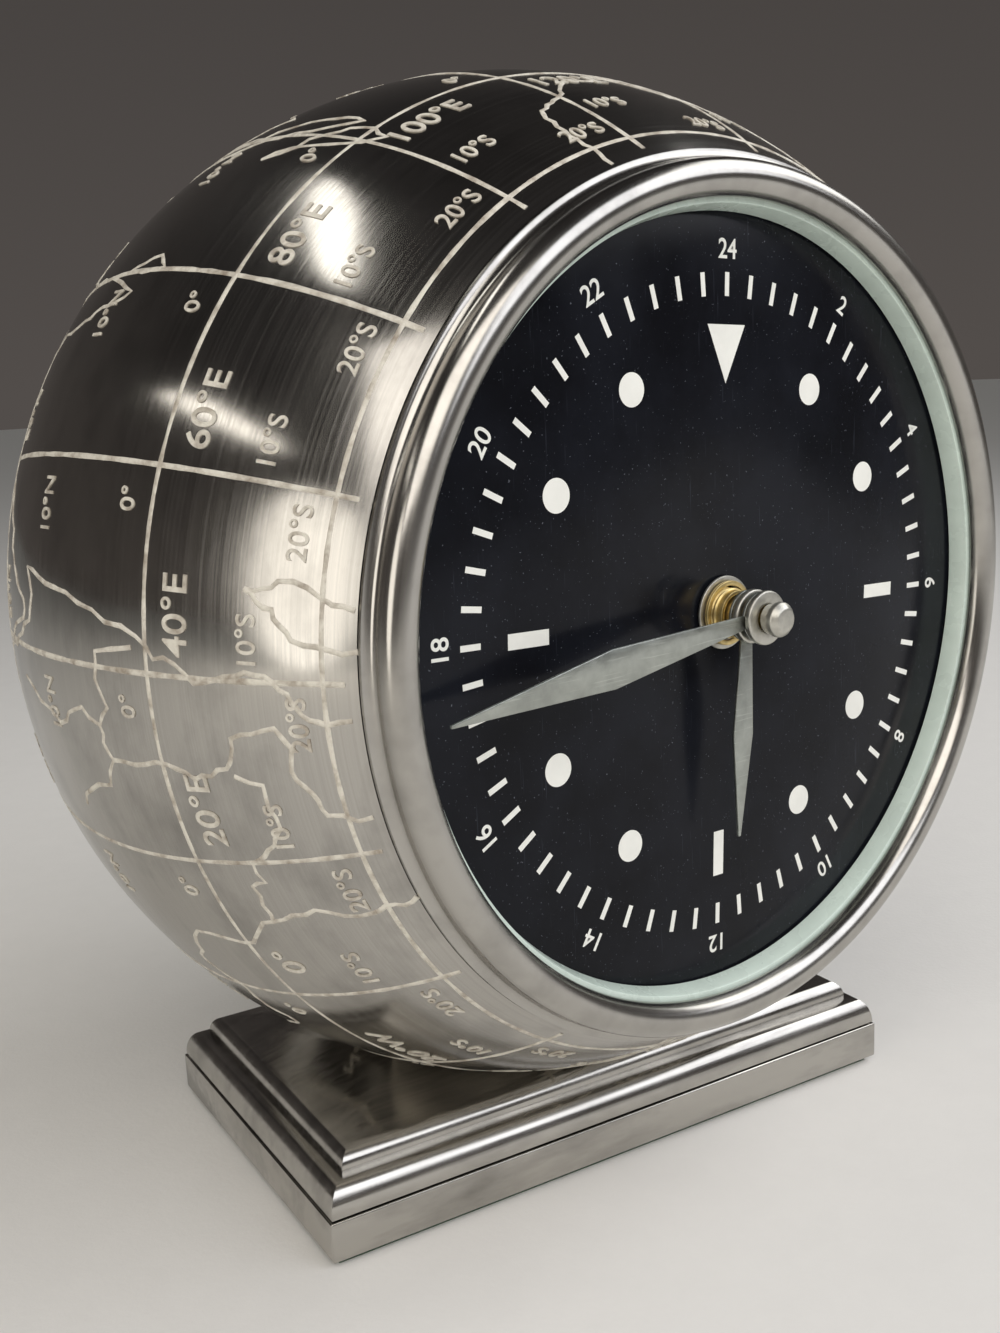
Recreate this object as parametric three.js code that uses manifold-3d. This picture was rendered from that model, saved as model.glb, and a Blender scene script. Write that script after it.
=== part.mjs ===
// Globe clock: a plated globe with a dial let into its southern cap, on a moulded plinth.
// Millimetres, +Z up. The origin is the centre of the underside, and the dial faces -Y.
// The clock frame has its origin at the globe's centre, +z towards the viewer of the dial and +y up.

import * as THREE from "three";
import { mergeVertices } from "three/addons/utils/BufferGeometryUtils.js";
import Module from "manifold-3d";

const wasm = await Module();
wasm.setup();

// Clearances and fineness
const gap = 0.3; // between pieces that rest on or lie against each other
const runningGap = 0.3; // between a turning piece and what it turns in
const overrun = 4; // how far a cutter runs past what it cuts
const weldDistance = 1e-4; // corners closer than this are one
const roundSides = 48; // sides of a large turned piece
const smallSides = 24; // sides of a small turned piece

// Globe and what is set into it
const globe = {
  radius: 88.3, wall: 1.6, frontPlane: 55.1, rearOpeningRadius: 42, sides: 64, arcSteps: 16,
};
const dial = { thickness: 1.0, recess: 1.0, sides: 64 };
const seatRing = { wall: 3.0, length: 8.5, flangeReach: 7.5, flangeThickness: 2.0 };
const spacer = { width: 2.94, draft: 0.8, depth: 3.2 };
const bezel = {
  beadRadius: 2.75, beadOutset: 1.36, lipHeight: 0.2, coveRadius: 1.45, footHeight: 0.5,
  beadSteps: 10, coveSteps: 3,
};
const bezelScrews = { count: 3, shankRadius: 0.8, headRadius: 1.2, headHeight: 1.4, bite: 2.4, sides: 12 };

// Back of the globe
const rearSeat = { overlap: 2.0, bore: 40.3, depth: 5.8, setIn: 0.4 };
const rearCover = {
  arcSteps: 4, spigotWall: 1.5, spigotLength: 7.5, slotWidth: 2.0, slots: 4, notchWidth: 14, notchDepth: 1.6,
};

// Base
const base = { length: 119.5, depth: 72, turnDegrees: -7.7 };
const felt = { thickness: 0.9, margin: 1.5 };
const slab = { thickness: 7.0 };
const plinth = {
  floor: 3.7, rollSteps: 6, setBack: 0.4,
  lowerRollSet: 3.0, lowerRollRise: 4.9, quirkSet: 1.0, quirkRise: 0.5,
  upperRollSet: 2.8, upperRollRise: 3.0, roofDegrees: 14.5, roofRun: 22,
};

// Swivel between base and globe
const swivelScrew = {
  radius: 3.0, headRadius: 6.0, headHeight: 3.4, tipLength: 1.4, clearance: 0.3, headClearance: 0.6,
};
const saddle = { radius: 9, height: 5.0 };
const springWasher = { radius: 6.0, thickness: 1.0 };
const lockNut = { acrossFlats: 10, height: 5.0, sides: 6 };

// Movement, with the arbors' places given from the dial's centre
const movementCase = { width: 56, height: 56, depth: 16.2, wall: 1.4 };
const threadedBush = { wall: 0.9, stand: 3.4, flangeReach: 1.6, flangeThickness: 0.9 };
const dialWasher = { radius: 5.8, thickness: 0.5 };
const bushNut = { radius: 5.1, thickness: 0.6 };
const wheels = { thickness: 1.0, layerPitch: 1.5, sides: 16 };
const tooth = { addendumShare: 0.85, dedendumShare: 1.15, rootHalfShare: 0.30, tipHalfShare: 0.12 };
const motionWork = { module: 0.4, cannonTeeth: 12, wheelTeeth: 36, pinionTeeth: 10, hourTeeth: 40 };
const goingTrain = { module: 0.27, centreTeeth: 60, thirdPinionTeeth: 8, thirdTeeth: 48, rotorTeeth: 8 };
const motionArbor = { radius: 0.9, directionDegrees: 60 };
const thirdArbor = { radius: 0.7, directionDegrees: 120 };
const knob = {
  radius: 6, height: 4.5, stemRadius: 1.2, teeth: 12, directionDegrees: 10, grips: 18, gripDepth: 0.5,
};
const rotor = { radius: 1.9, thickness: 1.4, spindleRadius: 0.5, directionDegrees: 70 };
const stator = { thickness: 0.9, reach: 15, height: 12.4, barWidth: 2.2, rearSet: 5.0, postRadius: 1.2 };
const coil = { length: 20, radius: 3.0, coreGap: 0.3 };
const board = { sideClearance: 0.6, footClearance: 1.8, width: 16, height: 20, thickness: 1.0 };
const battery = { radius: 7.1, length: 49.0, nubRadius: 2.6, nubLength: 1.3, sides: 24 };
const bayWall = { thickness: 1.0 };
const contact = { thickness: 0.5, width: 9, height: 10 };

// Hands
const hourPipe = { wall: 0.7, stand: 1.6 };
const minutePipe = { radius: 1.8, tipRadius: 1.2, tipLength: 2.2 };
const handBlade = { thickness: 0.5, tipWidth: 0.5 };
const hourHand = { length: 35.5, widest: 4.4, widestAt: 19, neckWidth: 2.4, eyeRadius: 4.0, turnDegrees: 184 };
const minuteHand = {
  length: 60, widest: 5.9, widestAt: 31, neckWidth: 2.1, eyeRadius: 3.9, turnDegrees: 264.4,
};
const hourBush = { radius: 4.2, thickness: 1.2 };
const minuteBush = { radius: 4.2, thickness: 1.1 };
const handGap = 0.6; // between the hour hand's bush and the minute hand
const handNut = { neckRadius: 2.3, neckLength: 1.4, capRadius: 2.7, capLength: 1.9, chamfer: 0.9 };

// Places that follow from the sizes above
const radians = THREE.MathUtils.degToRad;
const hourPipeBore = minutePipe.radius + runningGap;
const hourPipeRadius = hourPipeBore + hourPipe.wall;
const bushBore = hourPipeRadius + runningGap;
const bushRadius = bushBore + threadedBush.wall;
const slabBottom = felt.thickness + gap;
const slabTop = slabBottom + slab.thickness;
const plinthBottom = slabTop + gap;
const globeBottom = plinthBottom + plinth.floor + gap;
const globeCentreHeight = globeBottom + globe.radius;
const globeInside = globe.radius - globe.wall;
const dialFace = globe.frontPlane - dial.recess;
const dialBack = dialFace - dial.thickness;
const shellFrontRadius = Math.sqrt(globeInside ** 2 - globe.frontPlane ** 2);
const seatRadius = shellFrontRadius - gap;
const seatBore = seatRadius - seatRing.wall;
const seatRear = globe.frontPlane - seatRing.length;
const dialRadius = seatBore - gap;
const flangeFront = dialBack - gap;
const bezelRear = globe.frontPlane + gap;
const spacerRear = dialFace + gap;
const spacerFront = spacerRear + spacer.depth;
const caseFront = dialBack - gap;
const caseInnerFront = caseFront - movementCase.wall;
const caseRear = caseFront - movementCase.depth;
const lidFront = caseRear + movementCase.wall;
const bushFlangeFront = caseInnerFront - gap;
const bushEnd = dialFace + threadedBush.stand;
const hourLayer = bushFlangeFront - threadedBush.flangeThickness - gap - wheels.thickness;
const motionLayer = hourLayer - wheels.layerPitch;
const centreLayer = motionLayer - wheels.layerPitch;
const thirdLayer = centreLayer - wheels.layerPitch;
const pivotRear = lidFront + gap;
const pivotFront = caseInnerFront - gap;
const motionDistance = (motionWork.cannonTeeth + motionWork.wheelTeeth) * motionWork.module / 2;
const hourModule = 2 * motionDistance / (motionWork.pinionTeeth + motionWork.hourTeeth);
const thirdDistance = (goingTrain.centreTeeth + goingTrain.thirdPinionTeeth) * goingTrain.module / 2;
const rotorDistance = (goingTrain.thirdTeeth + goingTrain.rotorTeeth) * goingTrain.module / 2;
const knobDistance = (motionWork.wheelTeeth + knob.teeth) * motionWork.module / 2;
const motionDirection = radians(motionArbor.directionDegrees);
const thirdDirection = radians(thirdArbor.directionDegrees);
const knobDirection = radians(knob.directionDegrees);
const rotorDirection = radians(rotor.directionDegrees);
const washerRear = dialFace + gap;
const washerFront = washerRear + dialWasher.thickness;
const bushNutFront = washerFront + gap + bushNut.thickness;
const hourBladeRear = bushEnd + hourPipe.stand;
const hourBushRear = hourBladeRear + handBlade.thickness + gap;
const hourBushFront = hourBushRear + hourBush.thickness;
const minuteBladeRear = hourBushFront + handGap;
const minuteBushRear = minuteBladeRear + handBlade.thickness + gap;
const minuteBushFront = minuteBushRear + minuteBush.thickness;
const handNutRear = minuteBushFront + gap;
const caseHalfWidth = movementCase.width / 2;
const caseTop = movementCase.height / 2;
const caseBottom = -caseTop;
const batteryHeight = caseBottom + movementCase.wall + gap + battery.radius;
const batteryDepth = caseInnerFront - gap - battery.radius;
const bayTop = batteryHeight + battery.radius + gap + bayWall.thickness;
const contactOuter = caseHalfWidth - movementCase.wall - gap;
const statorBottom = rotorPlace()[1] - rotor.radius - stator.barWidth / 2;
const statorTop = statorBottom + stator.height;

// Finishes
const plated = () => finish(0xc9c6bf, 0.08, 1);
const brass = () => finish(0xc9a24a, 0.3, 1);
const steel = () => finish(0x9a9a98, 0.35, 1);
const silvered = () => finish(0xb9bab6, 0.3, 1);
const blackPlastic = () => finish(0x1c1c1e, 0.5, 0);
const whitePlastic = () => finish(0xe6e4dc, 0.45, 0);

function finish(color, roughness, metalness) {
  return new THREE.MeshStandardMaterial({ color, roughness, metalness });
}

// Joins equal corners, drops collapsed faces and turns the faces outwards.
function tidy(geometry) {
  geometry.deleteAttribute("normal");
  geometry.deleteAttribute("uv");
  const merged = mergeVertices(geometry, weldDistance);
  const old = merged.index.array;
  const faces = [];
  for (let i = 0; i < old.length; i += 3) {
    const [a, b, c] = [old[i], old[i + 1], old[i + 2]];
    if (a !== b && b !== c && c !== a) faces.push(a, b, c);
  }
  merged.setIndex(signedVolume(merged, faces) < 0 ? faces.reverse() : faces);
  return merged;
}

function signedVolume(geometry, faces) {
  const position = geometry.getAttribute("position");
  const [a, b, c] = [new THREE.Vector3(), new THREE.Vector3(), new THREE.Vector3()];
  let sum = 0;
  for (let i = 0; i < faces.length; i += 3) {
    a.fromBufferAttribute(position, faces[i]);
    b.fromBufferAttribute(position, faces[i + 1]);
    c.fromBufferAttribute(position, faces[i + 2]);
    sum += a.dot(b.cross(c));
  }
  return sum;
}

function toSolid(geometry) {
  return new wasm.Manifold(new wasm.Mesh({
    numProp: 3,
    vertProperties: Float32Array.from(geometry.getAttribute("position").array),
    triVerts: Uint32Array.from(geometry.index.array),
  }));
}

function toGeometry(solid) {
  const { vertProperties, triVerts } = solid.getMesh();
  const geometry = new THREE.BufferGeometry();
  geometry.setAttribute("position", new THREE.Float32BufferAttribute(vertProperties, 3));
  geometry.setIndex(Array.from(triVerts));
  return geometry;
}

function cut(geometry, ...tools) {
  return toGeometry(tools.reduce((solid, tool) => solid.subtract(toSolid(tool)), toSolid(geometry)));
}

function join(geometry, ...others) {
  return toGeometry(others.reduce((solid, other) => solid.add(toSolid(other)), toSolid(geometry)));
}

function keepInside(geometry, limit) {
  return toGeometry(toSolid(geometry).intersect(toSolid(limit)));
}

// A solid turned about z from [radius, z] points, closed on itself where it leaves the axis.
function revolve(profile, sides = roundSides) {
  const outline = profile[0][0] === 0 ? profile : [...profile, profile[0]];
  const points = outline.map(([radius, z]) => new THREE.Vector2(radius, z));
  return tidy(new THREE.LatheGeometry(points, sides).rotateX(Math.PI / 2));
}

function disc(radius, from, to, sides = smallSides) {
  return revolve([[0, from], [radius, from], [radius, to], [0, to]], sides);
}

function ring(outer, inner, from, to, sides = smallSides) {
  return revolve([[inner, from], [outer, from], [outer, to], [inner, to]], sides);
}

function ball(radius) {
  return tidy(new THREE.SphereGeometry(radius, globe.sides, globe.sides / 2).rotateX(Math.PI / 2));
}

function box(left, right, bottom, top, from, to) {
  const geometry = new THREE.BoxGeometry(right - left, top - bottom, to - from);
  geometry.translate((left + right) / 2, (bottom + top) / 2, (from + to) / 2);
  return tidy(geometry);
}

function extrude(shape, from, to) {
  const geometry = new THREE.ExtrudeGeometry(shape, { depth: to - from, bevelEnabled: false });
  return tidy(geometry.translate(0, 0, from));
}

function polygon(points) {
  return new THREE.Shape(points.map(([x, y]) => new THREE.Vector2(x, y)));
}

// Points of an arc about the origin in the [radius, z] plane; angles from +z, in radians.
function polarArc(radius, start, end, steps) {
  return Array.from({ length: steps + 1 }, (_, i) => {
    const angle = start + (end - start) * i / steps;
    return [radius * Math.sin(angle), radius * Math.cos(angle)];
  });
}

function moved(geometry, x, y, z = 0) {
  return geometry.clone().translate(x, y, z);
}

function atAngle(distance, angle) {
  return [distance * Math.cos(angle), distance * Math.sin(angle)];
}

function mesh(name, geometry, material) {
  const piece = new THREE.Mesh(geometry, material);
  piece.name = name;
  geometry.computeVertexNormals();
  return piece;
}

// Globe shell: front edge cut square at the dial's plane, rear opening cut straight
function globeShell() {
  const outerFront = Math.acos(globe.frontPlane / globe.radius);
  const outerRear = Math.PI - Math.asin(globe.rearOpeningRadius / globe.radius);
  const innerFront = Math.acos(globe.frontPlane / globeInside);
  const innerRear = Math.PI - Math.asin(globe.rearOpeningRadius / globeInside);
  const outer = polarArc(globe.radius, outerFront, outerRear, globe.arcSteps);
  const inner = polarArc(globeInside, innerRear, innerFront, globe.arcSteps);
  const hole = disc(swivelScrew.radius + swivelScrew.clearance, globeInside - overrun, globe.radius + overrun);
  return cut(revolve([...outer, ...inner], globe.sides), hole.rotateX(Math.PI / 2));
}

function screwPlaces() {
  const circle = seatRadius - seatRing.wall / 2;
  return Array.from({ length: bezelScrews.count }, (_, i) =>
    atAngle(circle, Math.PI / 2 + 2 * Math.PI * i / bezelScrews.count));
}

// Dial seat ring: lies inside the shell's front edge, its flange carries the dial
function dialSeatRing() {
  const flangeBore = seatBore - seatRing.flangeReach;
  const flangeRear = flangeFront - seatRing.flangeThickness;
  const profile = [
    [seatBore, seatRear], [seatRadius, seatRear],
    [seatRadius, globe.frontPlane], [seatBore, globe.frontPlane],
    [seatBore, flangeFront], [flangeBore, flangeFront], [flangeBore, flangeRear], [seatBore, flangeRear],
  ];
  const hole = disc(bezelScrews.shankRadius + gap, seatRear - overrun, bezelRear + overrun, bezelScrews.sides);
  return cut(revolve(profile), ...screwPlaces().map(([x, y]) => moved(hole, x, y)));
}

function dialPlate() {
  return ring(dialRadius, bushRadius + gap, dialBack, dialFace, dial.sides);
}

function spacerRing() {
  const inner = dialRadius - spacer.width;
  return revolve([
    [inner, spacerRear], [dialRadius, spacerRear],
    [dialRadius, spacerFront], [inner + spacer.draft, spacerFront],
  ]);
}

// Bezel: a foot against the globe, a cove, and a round bead whose lip holds the spacer ring
function bezelRing() {
  const rebate = dialRadius + gap;
  const lipRear = spacerFront + gap;
  const beadCentre = lipRear + bezel.lipHeight;
  const footTop = bezelRear + bezel.footHeight;
  const beadCircle = dialRadius + bezel.beadOutset;
  const footRadius = beadCircle + bezel.beadRadius + bezel.coveRadius;
  const bead = Array.from({ length: bezel.beadSteps + 1 }, (_, i) => {
    const angle = Math.PI * (1 - i / bezel.beadSteps);
    const [across, forward] = atAngle(bezel.beadRadius, angle);
    return [beadCircle + across, beadCentre + forward];
  });
  const cove = Array.from({ length: bezel.coveSteps + 1 }, (_, i) => {
    const angle = Math.PI + Math.PI / 2 * i / bezel.coveSteps;
    const [across, forward] = atAngle(bezel.coveRadius, angle);
    return [footRadius + across, footTop + bezel.coveRadius + forward];
  });
  const lipInner = beadCircle - bezel.beadRadius;
  const ringSolid = revolve([
    [rebate, bezelRear], [rebate, lipRear], [lipInner, lipRear],
    ...bead, ...cove, [footRadius, bezelRear],
  ], globe.sides);
  const hole = disc(bezelScrews.shankRadius + gap, bezelRear - overrun, bezelRear + bezelScrews.bite + gap,
    bezelScrews.sides);
  return cut(ringSolid, ...screwPlaces().map(([x, y]) => moved(hole, x, y)));
}

function bezelScrew([x, y]) {
  const headFront = seatRear - gap;
  return moved(revolve([
    [0, headFront - bezelScrews.headHeight], [bezelScrews.headRadius, headFront - bezelScrews.headHeight],
    [bezelScrews.headRadius, headFront], [bezelScrews.shankRadius, headFront],
    [bezelScrews.shankRadius, bezelRear + bezelScrews.bite], [0, bezelRear + bezelScrews.bite],
  ], bezelScrews.sides), x, y);
}

// Rear seat ring: inside the back opening, narrower than it, so the cover rests on its back face
function rearSeatOuter() {
  return globe.rearOpeningRadius + rearSeat.overlap;
}

function rearSeatBack() {
  return -Math.sqrt(globeInside ** 2 - rearSeatOuter() ** 2) + rearSeat.setIn;
}

function rearSeatRing() {
  return ring(rearSeatOuter(), rearSeat.bore, rearSeatBack(), rearSeatBack() + rearSeat.depth, roundSides);
}

// Rear cover: the globe's northern cap, with a slotted spigot and a nail notch in its rim
function rearCap() {
  const rim = globe.rearOpeningRadius - gap;
  const spigot = rearSeat.bore - runningGap;
  const spigotInner = spigot - rearCover.spigotWall;
  const rimFront = rearSeatBack() - gap;
  const spigotFront = rearSeatBack() + rearCover.spigotLength;
  const outer = polarArc(globe.radius, Math.PI, Math.PI - Math.asin(rim / globe.radius), rearCover.arcSteps);
  const inner = polarArc(globeInside, Math.PI - Math.asin(spigotInner / globeInside), Math.PI, rearCover.arcSteps);
  const cap = revolve([
    ...outer, [rim, rimFront], [spigot, rimFront], [spigot, spigotFront], [spigotInner, spigotFront], ...inner,
  ].map(([radius, z]) => [radius < weldDistance ? 0 : radius, z]));
  const slot = box(-rearCover.slotWidth / 2, rearCover.slotWidth / 2, 0, spigot + overrun,
    rearSeatBack() + gap, spigotFront + overrun);
  const slots = Array.from({ length: rearCover.slots }, (_, i) =>
    slot.clone().rotateZ(2 * Math.PI * (i + 0.5) / rearCover.slots));
  const notch = box(-rearCover.notchWidth / 2, rearCover.notchWidth / 2,
    -rim - overrun, -rim + rearCover.notchDepth, -globe.radius, rimFront + overrun);
  return cut(cap, ...slots, notch);
}

// A block with mitred corners: each [inset, height] of the profile is one rectangle of it.
function mitredBlock(length, depth, profile) {
  const corners = profile.flatMap(([inset, height]) => {
    const [x, y] = [length / 2 - inset, depth / 2 - inset];
    return [-x, -y, height, x, -y, height, x, y, height, -x, y, height];
  });
  const faces = [0, 2, 1, 0, 3, 2];
  for (let level = 0; level < profile.length - 1; level += 1) {
    for (let side = 0; side < 4; side += 1) {
      const [a, b] = [4 * level + side, 4 * level + (side + 1) % 4];
      faces.push(a, b, b + 4, a, b + 4, a + 4);
    }
  }
  const top = 4 * (profile.length - 1);
  faces.push(top, top + 1, top + 2, top, top + 2, top + 3);
  const geometry = new THREE.BufferGeometry();
  geometry.setAttribute("position", new THREE.Float32BufferAttribute(corners, 3));
  geometry.setIndex(faces);
  return geometry;
}

// A quarter round that starts upright at [inset, height] and ends level.
function roll(inset, height, set, rise) {
  return Array.from({ length: plinth.rollSteps + 1 }, (_, i) => {
    const angle = Math.PI / 2 * i / plinth.rollSteps;
    return [inset + set * (1 - Math.cos(angle)), height + rise * Math.sin(angle)];
  });
}

function plinthProfile() {
  const quirkInset = plinth.setBack + plinth.lowerRollSet + plinth.quirkSet;
  const quirkHeight = plinthBottom + plinth.lowerRollRise + plinth.quirkRise;
  const roofInset = quirkInset + plinth.upperRollSet;
  const roofHeight = quirkHeight + plinth.upperRollRise;
  return [
    ...roll(plinth.setBack, plinthBottom, plinth.lowerRollSet, plinth.lowerRollRise),
    [quirkInset, plinthBottom + plinth.lowerRollRise],
    ...roll(quirkInset, quirkHeight, plinth.upperRollSet, plinth.upperRollRise),
    [roofInset + plinth.roofRun, roofHeight + plinth.roofRun * Math.tan(radians(plinth.roofDegrees))],
  ];
}

function mouldedPlinth() {
  const cup = ball(globe.radius + gap);
  const hole = disc(swivelScrew.radius + swivelScrew.clearance, -overrun, globeBottom + overrun);
  const block = mitredBlock(base.length, base.depth, plinthProfile());
  return cut(block, moved(cup, 0, 0, globeCentreHeight), hole);
}

function basePlate() {
  const counterboreTop = slabBottom + swivelScrew.headHeight + 2 * gap;
  const hole = disc(swivelScrew.radius + swivelScrew.clearance, slabBottom - overrun, slabTop + overrun);
  const counterbore = disc(swivelScrew.headRadius + swivelScrew.headClearance, slabBottom - overrun, counterboreTop);
  return cut(mitredBlock(base.length, base.depth, [[0, slabBottom], [0, slabTop]]), hole, counterbore);
}

function baseFelt() {
  return mitredBlock(base.length, base.depth, [[felt.margin, 0], [felt.margin, felt.thickness]]);
}

// Swivel: the screw stands in the base, the globe turns on it between cup and spring washer
function saddleTop() {
  return globeBottom + globe.wall + gap + saddle.height;
}

function swivelSaddle() {
  const blank = ring(saddle.radius, swivelScrew.radius + swivelScrew.clearance, globeBottom, saddleTop());
  const inside = ball(globeInside - gap);
  return keepInside(blank, moved(inside, 0, 0, globeCentreHeight));
}

function swivelSpringWasher() {
  const from = saddleTop() + gap;
  return ring(springWasher.radius, swivelScrew.radius + gap, from, from + springWasher.thickness);
}

function lockNutBottom() {
  return saddleTop() + 2 * gap + springWasher.thickness;
}

function swivelLockNut() {
  const [bottom, top] = [lockNutBottom(), lockNutBottom() + lockNut.height];
  const corner = lockNut.acrossFlats / 2 / Math.cos(Math.PI / lockNut.sides);
  const hexagon = disc(corner, bottom, top, lockNut.sides);
  return cut(hexagon, disc(swivelScrew.radius + gap, bottom - overrun, top + overrun));
}

function swivelScrewSolid() {
  const headTop = slabBottom + gap + swivelScrew.headHeight;
  const tip = lockNutBottom() + lockNut.height + swivelScrew.tipLength;
  return revolve([
    [0, slabBottom + gap], [swivelScrew.headRadius, slabBottom + gap], [swivelScrew.headRadius, headTop],
    [swivelScrew.radius, headTop], [swivelScrew.radius, tip], [0, tip],
  ], smallSides);
}

// Movement case: a tray open to the back, with a wall above the battery
function movementTray() {
  const { wall } = movementCase;
  const outside = box(-caseHalfWidth, caseHalfWidth, caseBottom, caseTop, lidFront + gap, caseFront);
  const inside = box(wall - caseHalfWidth, caseHalfWidth - wall, caseBottom + wall, caseTop - wall,
    caseRear - overrun, caseInnerFront);
  const partition = box(-caseHalfWidth, caseHalfWidth, bayTop - bayWall.thickness, bayTop,
    lidFront + gap, caseFront);
  const hole = disc(bushRadius + gap, caseInnerFront - overrun, caseFront + overrun);
  return cut(join(cut(outside, inside), partition), hole);
}

function movementCover() {
  const { wall } = movementCase;
  const [x, y] = knobPlace();
  const window = box(wall - caseHalfWidth, caseHalfWidth - wall, caseBottom + wall, bayTop - bayWall.thickness,
    caseRear - overrun, lidFront + overrun);
  const stemHole = moved(disc(knob.stemRadius + runningGap, caseRear - overrun, lidFront + overrun), x, y);
  const plate = box(-caseHalfWidth, caseHalfWidth, caseBottom, caseTop, caseRear, lidFront);
  return join(cut(plate, window, stemHole), ...statorPosts());
}

function threadedBushSolid() {
  const flangeRear = bushFlangeFront - threadedBush.flangeThickness;
  const flangeRadius = bushRadius + threadedBush.flangeReach;
  return revolve([
    [bushBore, flangeRear], [flangeRadius, flangeRear], [flangeRadius, bushFlangeFront],
    [bushRadius, bushFlangeFront], [bushRadius, bushEnd], [bushBore, bushEnd],
  ], smallSides);
}

// Toothed wheels: straight-flanked teeth with room to run
function toothedShape(teeth, module, phase) {
  const pitchRadius = teeth * module / 2;
  const root = pitchRadius - tooth.dedendumShare * module;
  const tip = pitchRadius + tooth.addendumShare * module;
  const step = 2 * Math.PI / teeth;
  const corners = [
    [root, -tooth.rootHalfShare], [tip, -tooth.tipHalfShare],
    [tip, tooth.tipHalfShare], [root, tooth.rootHalfShare],
  ];
  return polygon(Array.from({ length: teeth }, (_, i) =>
    corners.map(([radius, share]) => atAngle(radius, phase + (i + share) * step))).flat());
}

function wheel(teeth, module, phase, from, to) {
  return extrude(toothedShape(teeth, module, phase), from, to);
}

// The angle of a wheel's first tooth when it meshes with a wheel that lies in the opposite direction.
function meshedPhase(phase, teeth, meshedTeeth, direction) {
  const turns = (direction - phase) * teeth / (2 * Math.PI);
  return direction + Math.PI - (0.5 - turns) * 2 * Math.PI / meshedTeeth;
}

function motionPlace() {
  return atAngle(motionDistance, motionDirection);
}

function thirdPlace() {
  return atAngle(thirdDistance, thirdDirection);
}

function knobPlace() {
  return further(motionPlace(), knobDistance, knobDirection);
}

function rotorPlace() {
  return further(thirdPlace(), rotorDistance, rotorDirection);
}

function further([x, y], distance, direction) {
  const [dx, dy] = atAngle(distance, direction);
  return [x + dx, y + dy];
}

function motionPhase() {
  return meshedPhase(0, motionWork.cannonTeeth, motionWork.wheelTeeth, motionDirection);
}

function minuteArborSolid() {
  const shoulder = minuteBushFront;
  const spindle = revolve([
    [0, pivotRear], [minutePipe.radius, pivotRear], [minutePipe.radius, shoulder],
    [minutePipe.tipRadius, shoulder], [minutePipe.tipRadius, shoulder + minutePipe.tipLength],
    [0, shoulder + minutePipe.tipLength],
  ], wheels.sides);
  return join(
    spindle,
    wheel(motionWork.cannonTeeth, motionWork.module, 0, motionLayer, motionLayer + wheels.thickness),
    wheel(goingTrain.centreTeeth, goingTrain.module, 0, centreLayer, centreLayer + wheels.thickness),
  );
}

function hourWheelSolid() {
  const phase = meshedPhase(
    motionPhase(), motionWork.pinionTeeth, motionWork.hourTeeth, motionDirection + Math.PI);
  const toothed = wheel(motionWork.hourTeeth, hourModule, phase, hourLayer, hourLayer + wheels.thickness);
  const pipe = disc(hourPipeRadius, hourLayer, hourBushFront - gap);
  const bore = disc(hourPipeBore, hourLayer - overrun, hourBushFront + overrun);
  return cut(join(toothed, pipe), bore);
}

function motionWheelSolid() {
  const [x, y] = motionPlace();
  const phase = motionPhase();
  return moved(join(
    disc(motionArbor.radius, pivotRear, pivotFront, wheels.sides),
    wheel(motionWork.wheelTeeth, motionWork.module, phase, motionLayer, motionLayer + wheels.thickness),
    wheel(motionWork.pinionTeeth, hourModule, phase, motionLayer, hourLayer + wheels.thickness),
  ), x, y);
}

function thirdWheelSolid() {
  const [x, y] = thirdPlace();
  const phase = meshedPhase(0, goingTrain.centreTeeth, goingTrain.thirdPinionTeeth, thirdDirection);
  return moved(join(
    disc(thirdArbor.radius, pivotRear, pivotFront, wheels.sides),
    wheel(goingTrain.thirdPinionTeeth, goingTrain.module, phase, thirdLayer, centreLayer + wheels.thickness),
    wheel(goingTrain.thirdTeeth, goingTrain.module, 0, thirdLayer, thirdLayer + wheels.thickness),
  ), x, y);
}

function settingKnobSolid() {
  const [x, y] = knobPlace();
  const phase = meshedPhase(motionPhase(), motionWork.wheelTeeth, knob.teeth, knobDirection);
  const front = caseRear - gap;
  const corners = Array.from({ length: 2 * knob.grips }, (_, i) =>
    atAngle(knob.radius - (i % 2) * knob.gripDepth, Math.PI * i / knob.grips));
  return moved(join(
    extrude(polygon(corners), front - knob.height, front),
    disc(knob.stemRadius, front - knob.height / 2, pivotFront, wheels.sides),
    wheel(knob.teeth, motionWork.module, phase, motionLayer, motionLayer + wheels.thickness),
  ), x, y);
}

function statorPosts() {
  const [x, y] = rotorPlace();
  const side = stator.reach - stator.barWidth / 2;
  const post = disc(stator.postRadius, caseRear, statorRear() - gap, wheels.sides);
  return [moved(post, x - side, y), moved(post, x + side, y)];
}

// Stepping motor: a spool of wire on the upper bar of a soft iron frame, the rotor in its lower bar
function statorRear() {
  return lidFront + stator.rearSet;
}

function statorSolid() {
  const [x, y] = rotorPlace();
  const [from, to] = [statorRear(), statorRear() + stator.thickness];
  const frame = box(x - stator.reach, x + stator.reach, statorBottom, statorTop, from, to);
  const windowReach = stator.reach - stator.barWidth;
  const window = box(x - windowReach, x + windowReach, y + rotor.radius + stator.barWidth / 2,
    statorTop - stator.barWidth, from - overrun, to + overrun);
  const bore = moved(disc(rotor.radius + gap, from - overrun, to + overrun, wheels.sides), x, y);
  return cut(frame, window, bore);
}

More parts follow.
